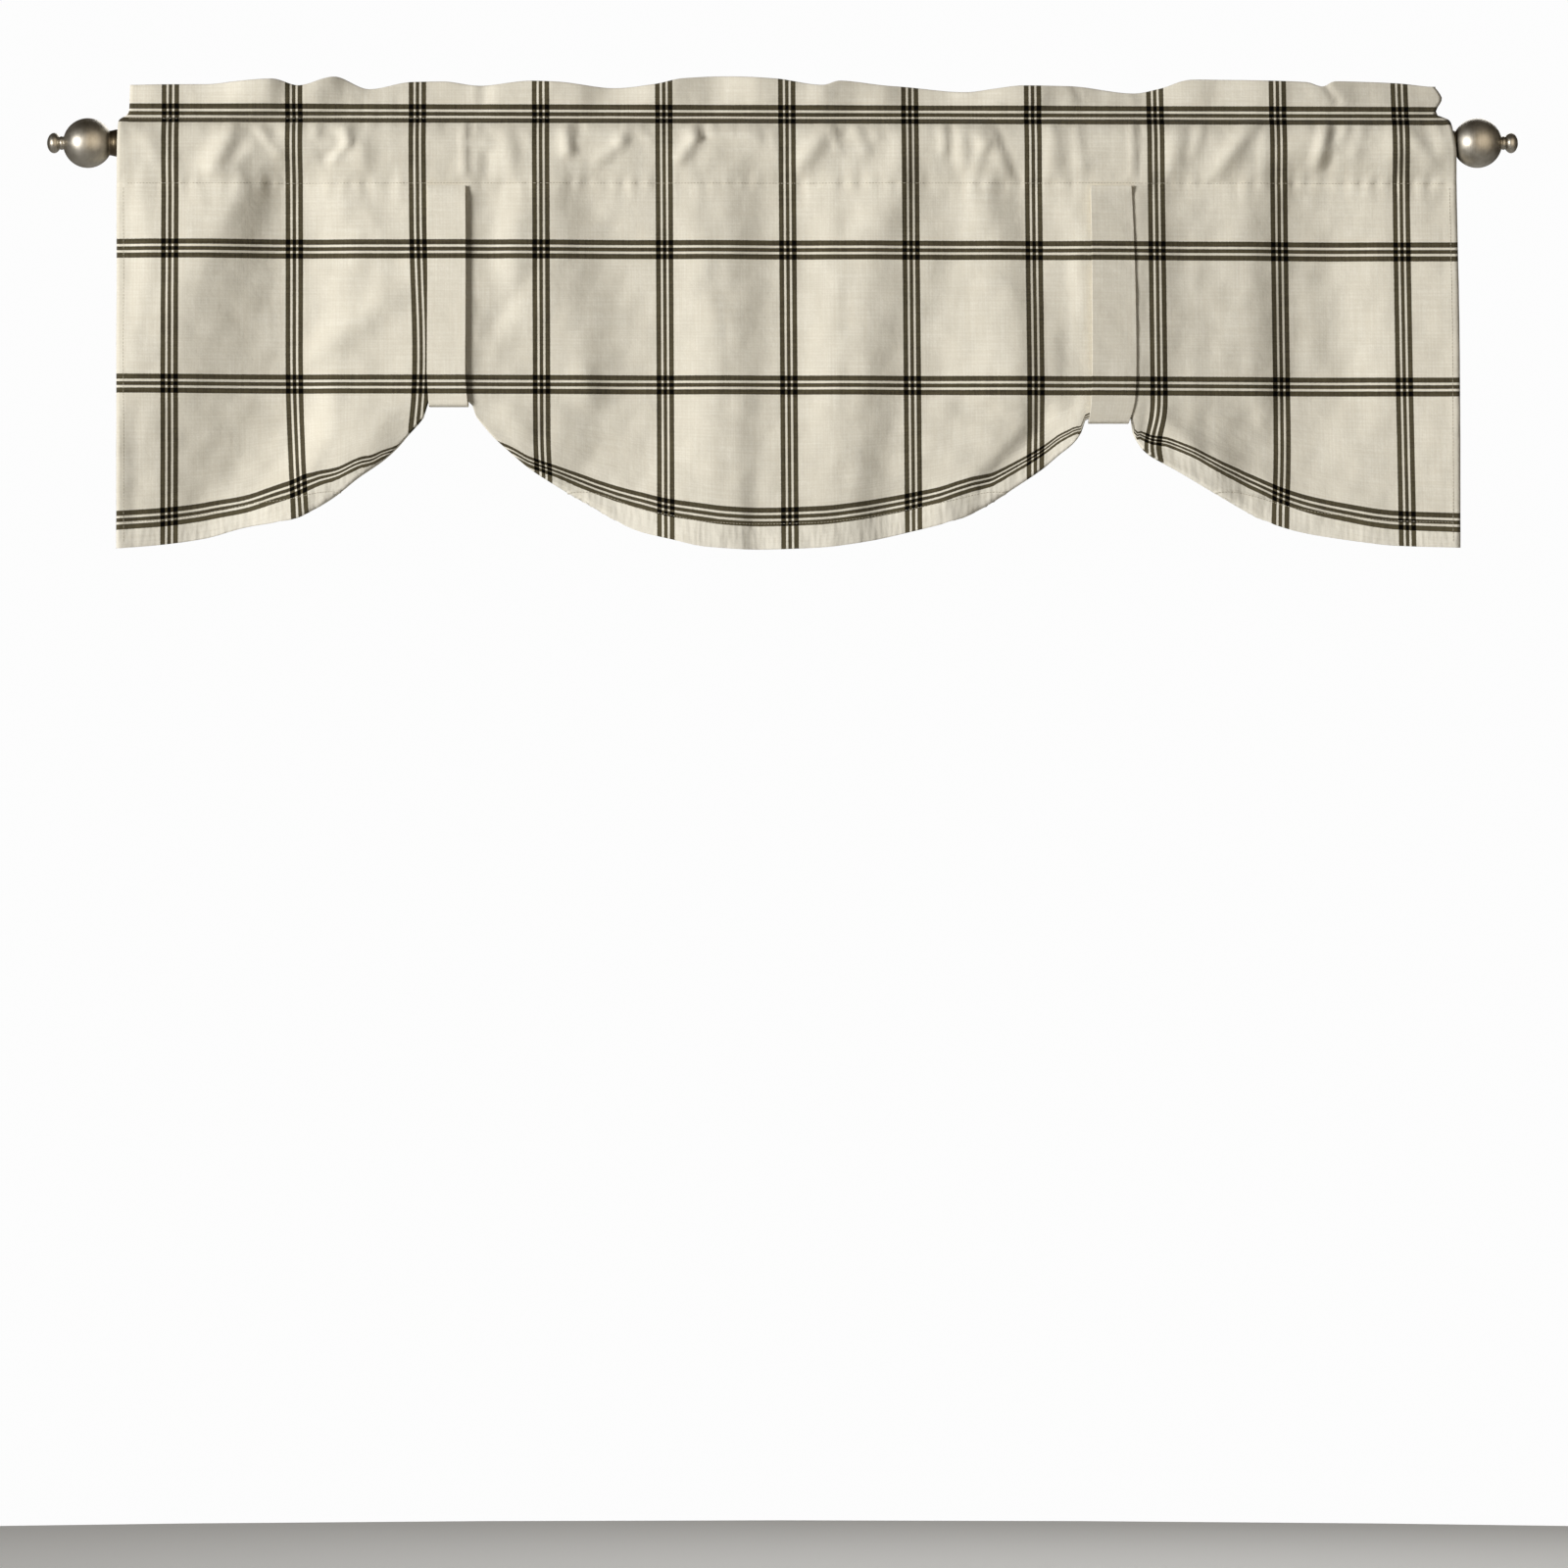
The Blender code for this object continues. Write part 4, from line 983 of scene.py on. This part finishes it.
def cotton_thread(name):
    """Mercerised cotton thread: cream, a little glossier than the cloth, with twisted plies."""
    material, tree, shader = blank_material(name)
    place = add(tree, "TexCoord").outputs["Object"]
    plies = add(tree, "TexNoise", Vector=place, Scale=2400.0, Detail=1.0)
    tone = add(tree, "ValToRGB", stops=((0.35, "#aba28c"), (0.65, "#c6bea9")), Fac=plies)
    bump = add(tree, "Bump", Strength=0.4, Distance=0.0001, Height=plies)
    feed(shader, Base_Color=tone, Normal=bump, Roughness=0.6, Sheen_Weight=0.2)
    return material


def sew(name, place, lines, half_layer, both_sides=True):
    """A joined row of stitches along each flat line, on the face and, if asked, on the back."""
    rows = [sewn_row(place, first, last) for first, last in lines]
    middles, directions, normals = (np.concatenate([row[i] for row in rows]) for i in range(3))
    if both_sides:
        middles, directions = np.concatenate((middles,) * 2), np.concatenate((directions,) * 2)
        normals = np.concatenate((normals, -normals))
    middles = middles + (half_layer + STITCH_RADIUS - STITCH_SINK) * normals
    return piece_of(name, stitches(name, middles, directions, normals), thread)


thread = cotton_thread("cotton sewing thread")
start, end = POCKET_ROW_INSET, CUT_WIDTH - POCKET_ROW_INSET
pocket_sewing = sew("pocket_stitching", on_cloth, (
    ((start, UPPER_SEAM), (end, UPPER_SEAM)), ((start, LOWER_SEAM), (end, LOWER_SEAM)),
), 0.5 * LAYER, both_sides=False)
start, hem_row = SIDE_HEM_WIDTH - HEM_ROW_INSET, HEM_TOP - HEM_ROW_INSET
end = CUT_WIDTH - start
low, high = HEM_LEVEL + SIDE_ROW_ENDS[0], LOWER_SEAM - SIDE_ROW_ENDS[1]
hem_sewing = sew("hem_stitching", on_cloth, (
    ((start, hem_row), (end, hem_row)), ((start, low), (start, high)), ((end, low), (end, high)),
), 0.5 * HEM_LAYERS)

# ---- Straps ----
# Two strips of the same cotton, folded in three and pressed. Each is sewn in
# at the pocket's lower seam, passes in front of the skirt and round under its
# hem, and is sewn again behind, so the cloth hangs bunched in the loop.
STRAP_THICKNESS = 1.3
STRAP_FOOT_HEIGHT = 0.8    # from the loop's foot to the middle of its thickness
STRAP_WIDTH = 44.0
STRAP_SHOWN = 40.0         # about what shows of its width
STRAP_FRONT = -11.2        # depth of the loop's front and of its back
STRAP_BACK = 34.0
STRAP_CORNERS = (4.0, 9.0)           # radii of its front and back corner
STRAP_TOP = -43.5
STRAP_BACK_TOP = (-2.0, -49.0)       # depth and level where it is sewn in behind
STRAP_BACK_RISE = 12.0     # it leans forward from this far above the back corner,
STRAP_LEAN = 1.2           # with this power
# How far the right edge comes forward and the left goes back, dying out over
# these lengths at the top and at the foot
STRAP_TWISTS = {"strap_left": 2.2, "strap_right": -2.3}
TWIST_TOP, TWIST_FOOT = 12.0, 8.0
# How far it wavers in depth, with its seeds, how many ripples cross and their
# lengths, and how far it sways sideways, held flat over these lengths at both
# seams
WAVER = 0.35
WAVER_SEEDS = {"strap_left": 10, "strap_right": 11}
WAVER_RIPPLES, WAVER_LENGTHS = 6, (30.0, 110.0)
SWAY, SWAY_LENGTH = 0.3, 47.0
HELD_TOP, HELD_BACK, WAVER_BACK = 20.0, 30.0, 40.0
STRAP_COLUMNS, STRAP_ROWS = 14, 180
FRONT_STEPS, CORNER_STEPS, SOLE_STEPS, BACK_STEPS = 48, 9, 7, 40
EDGE_ROUNDING = 0.5
STRAP_ROW_INSET = 3.0      # from its side edges
STRAP_ROW_ENDS = (3.0, 6.0)          # from its front and from its back end


def strap_path(foot):
    """(y, level) down the front, round a quarter circle, along below, and up behind the cloth."""
    low, (fore, aft) = foot + STRAP_FOOT_HEIGHT, STRAP_CORNERS
    down = np.linspace(STRAP_TOP, low + fore, FRONT_STEPS)
    turn = np.linspace(0.0, 0.5 * math.pi, CORNER_STEPS)
    quarter = turn[1:]
    under = np.linspace(STRAP_FRONT + fore, STRAP_BACK - aft, SOLE_STEPS)[1:-1]
    rise = np.linspace(0.0, 1.0, BACK_STEPS)
    lean = rise ** STRAP_LEAN
    back_y, back_level = STRAP_BACK_TOP
    start = low + aft + STRAP_BACK_RISE
    stretches = (
        (np.full_like(down, STRAP_FRONT), down),
        (STRAP_FRONT + fore * (1 - np.cos(quarter)), low + fore * (1 - np.sin(quarter))),
        (under, np.full_like(under, low)),
        (STRAP_BACK - aft * (1 - np.sin(turn)), low + aft * (1 - np.cos(turn))),
        (STRAP_BACK + (back_y - STRAP_BACK) * lean, start + (back_level - start) * rise),
    )
    return np.vstack([np.column_stack(stretch) for stretch in stretches])


def strap_place(row, spots):
    """The hung point of a flat (off, along) spot.

    off is its share of the strap's width from the middle, and along how far
    it is down the strap's length.
    """
    name, foot, _, _ = row
    path = strap_path(foot)
    length = np.concatenate(([0.0], np.cumsum(np.hypot(*np.diff(path, axis=0).T))))
    off, along = spots[..., 0], spots[..., 1]
    left_over = length[-1] - along
    y, level = np.interp(along, length, path[:, 0]), np.interp(along, length, path[:, 1])
    left, right = through(STRAP_EDGES[name], 1, level), through(STRAP_EDGES[name], 2, level)
    x = 0.5 * (left + right) + (right - left) * off
    held = ease(along / HELD_TOP) * ease(left_over / HELD_BACK)
    from_middle = STRAP_SHOWN * off
    waver = ripples(WAVER_SEEDS[name], WAVER_RIPPLES, WAVER_LENGTHS, from_middle, along)
    waver = WAVER * waver
    waver = waver * held * ease(left_over / WAVER_BACK)
    outwards = np.where(along < 0.5 * length[-1], -1.0, 1.0)
    kept = ease(along / TWIST_TOP) * ease((STRAP_TOP - foot - along) / TWIST_FOOT + 1.0)
    twist = STRAP_TWISTS[name] * 2.0 * off * kept
    sway = SWAY * held * np.sin(along / SWAY_LENGTH)
    return x + sway, y - twist + outwards * np.abs(waver), level


def strap_mesh(row):
    """A strap's mesh, and its flat length."""
    name, foot, _, _ = row
    length = float(np.hypot(*np.diff(strap_path(foot), axis=0).T).sum())
    across_strap = 0.5 * np.sin(np.linspace(-0.5, 0.5, STRAP_COLUMNS + 1) * math.pi)
    off, along = np.meshgrid(across_strap, np.linspace(0.0, length, STRAP_ROWS)[::-1])
    x, y, z = strap_place(row, np.stack((off, along), axis=-1))
    cut_u = CHECK_ACROSS + 0.5 * CHECK_REPEAT + STRAP_WIDTH * off
    cut_v = STRAP_TOP - along + CHECK_LEAN * x
    return laid_surface(name + "_woven", x, y, z, cut=(cut_u, cut_v)), length


strap_cotton = woven_cotton("woven cotton strap", -2000.0)
for row in STRAPS:
    name = row[0]
    mesh, length = strap_mesh(row)
    strap = piece_of(name + "_woven", mesh, strap_cotton)
    thicken(strap, STRAP_THICKNESS)
    rounding = strap.modifiers.new("rolled edge", "BEVEL")
    rounding.width = EDGE_ROUNDING * MM
    rounding.segments = 2
    rounding.limit_method = "ANGLE"
    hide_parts(name)
    edge = 0.5 * STRAP_WIDTH - STRAP_ROW_INSET
    start, end = STRAP_ROW_ENDS[0], length - STRAP_ROW_ENDS[1]

    def on_strap(spots, row=row):
        """Hung points of flat spots on this strap, in millimetres across and along."""
        return np.stack(strap_place(row, spots / (STRAP_WIDTH, 1.0)), axis=-1)

    sewing = sew(name + "_stitching", on_strap, (
        ((edge, end), (edge, start)), ((-edge, end), (-edge, start)),
    ), 0.5 * STRAP_THICKNESS, both_sides=False)

# ---- Studio ----
# A pale floor, a large soft light in front to the left, weaker ones in front
# to the right and behind, and a dim white room around.
FLOOR_LEVEL = -1620.0
FLOOR_RADIUS = 4000.0
FLOOR_SIDES = 64
LIGHTS_AIM = (0.0, 0.0, -0.2)        # the middle of the cloth
LIGHTS = {                 # place and size in metres, and power
    "key": ((-14.0, -11.3, 1.4), 5.6, 3115.0),
    "fill": ((2.6, -3.6, 0.4), 2.2, 4.0),
    "back": ((0.8, 3.4, 1.2), 2.2, 60.0),
}
ROOM_LIGHT = 0.07
ROOM_SEEN = 0.98           # the room as the camera sees it behind the valance
ROOM_MIRRORED = 0.07
WINDOW_MIRRORED = 1.5
WINDOW_WAY = (0.42, -0.90, 0.08)
WINDOW_SPREAD = 0.6        # the cosine of how far from its middle the window's glow reaches

rim = np.linspace(0.0, 2 * math.pi, FLOOR_SIDES, endpoint=False)
reach = np.array((0.0, FLOOR_RADIUS))
floor_x, floor_y = np.outer(reach, np.cos(rim)), np.outer(reach, np.sin(rim))
floor_mesh = laid_surface("floor", floor_x, floor_y, np.full_like(floor_x, FLOOR_LEVEL), wrap=True)
paint, _, paint_shader = blank_material("matt white paint")
feed(paint_shader, Base_Color=linear("#f0f0ee"), Roughness=0.95)
floor_mesh.materials.append(paint)
floor = bpy.data.objects.new("floor", floor_mesh)
bpy.context.scene.collection.objects.link(floor)

for name, (place, size, power) in LIGHTS.items():
    light = bpy.data.lights.new(name, "AREA")
    light.size = size
    light.energy = power
    lamp = bpy.data.objects.new(name, light)
    lamp.location = place
    aim = Vector(LIGHTS_AIM) - Vector(place)
    lamp.rotation_euler = aim.to_track_quat("-Z", "Y").to_euler()
    bpy.context.scene.collection.objects.link(lamp)

room = bpy.data.worlds.new("room")
room.use_nodes = True
tree = room.node_tree
rays = add(tree, "LightPath").outputs
# Polished metal also sees a pale room, brightest around a window behind the camera
towards = add(tree, "TexCoord").outputs["Generated"]
facing = add(tree, "VectorMath", {"operation": "DOT_PRODUCT"}, _0=towards, _1=WINDOW_WAY)
window = add(tree, "MapRange", SMOOTH, Value=facing.outputs["Value"], From_Min=WINDOW_SPREAD,
             From_Max=1.0, To_Min=ROOM_MIRRORED, To_Max=WINDOW_MIRRORED)
mirrored = add(tree, "Mix", _0=rays["Is Glossy Ray"], _2=ROOM_LIGHT, _3=window)
strength = add(tree, "Mix", _0=rays["Is Camera Ray"], _2=mirrored, _3=ROOM_SEEN)
warmth = add(tree, "Mix", COLOUR, _0=rays["Is Camera Ray"], _6=linear("#fff1db"),
             _7=linear("#ffffff"))
feed(tree.nodes["Background"], Color=warmth.outputs[2], Strength=strength)
bpy.context.scene.world = room
bpy.context.scene.view_settings.view_transform = "Standard"
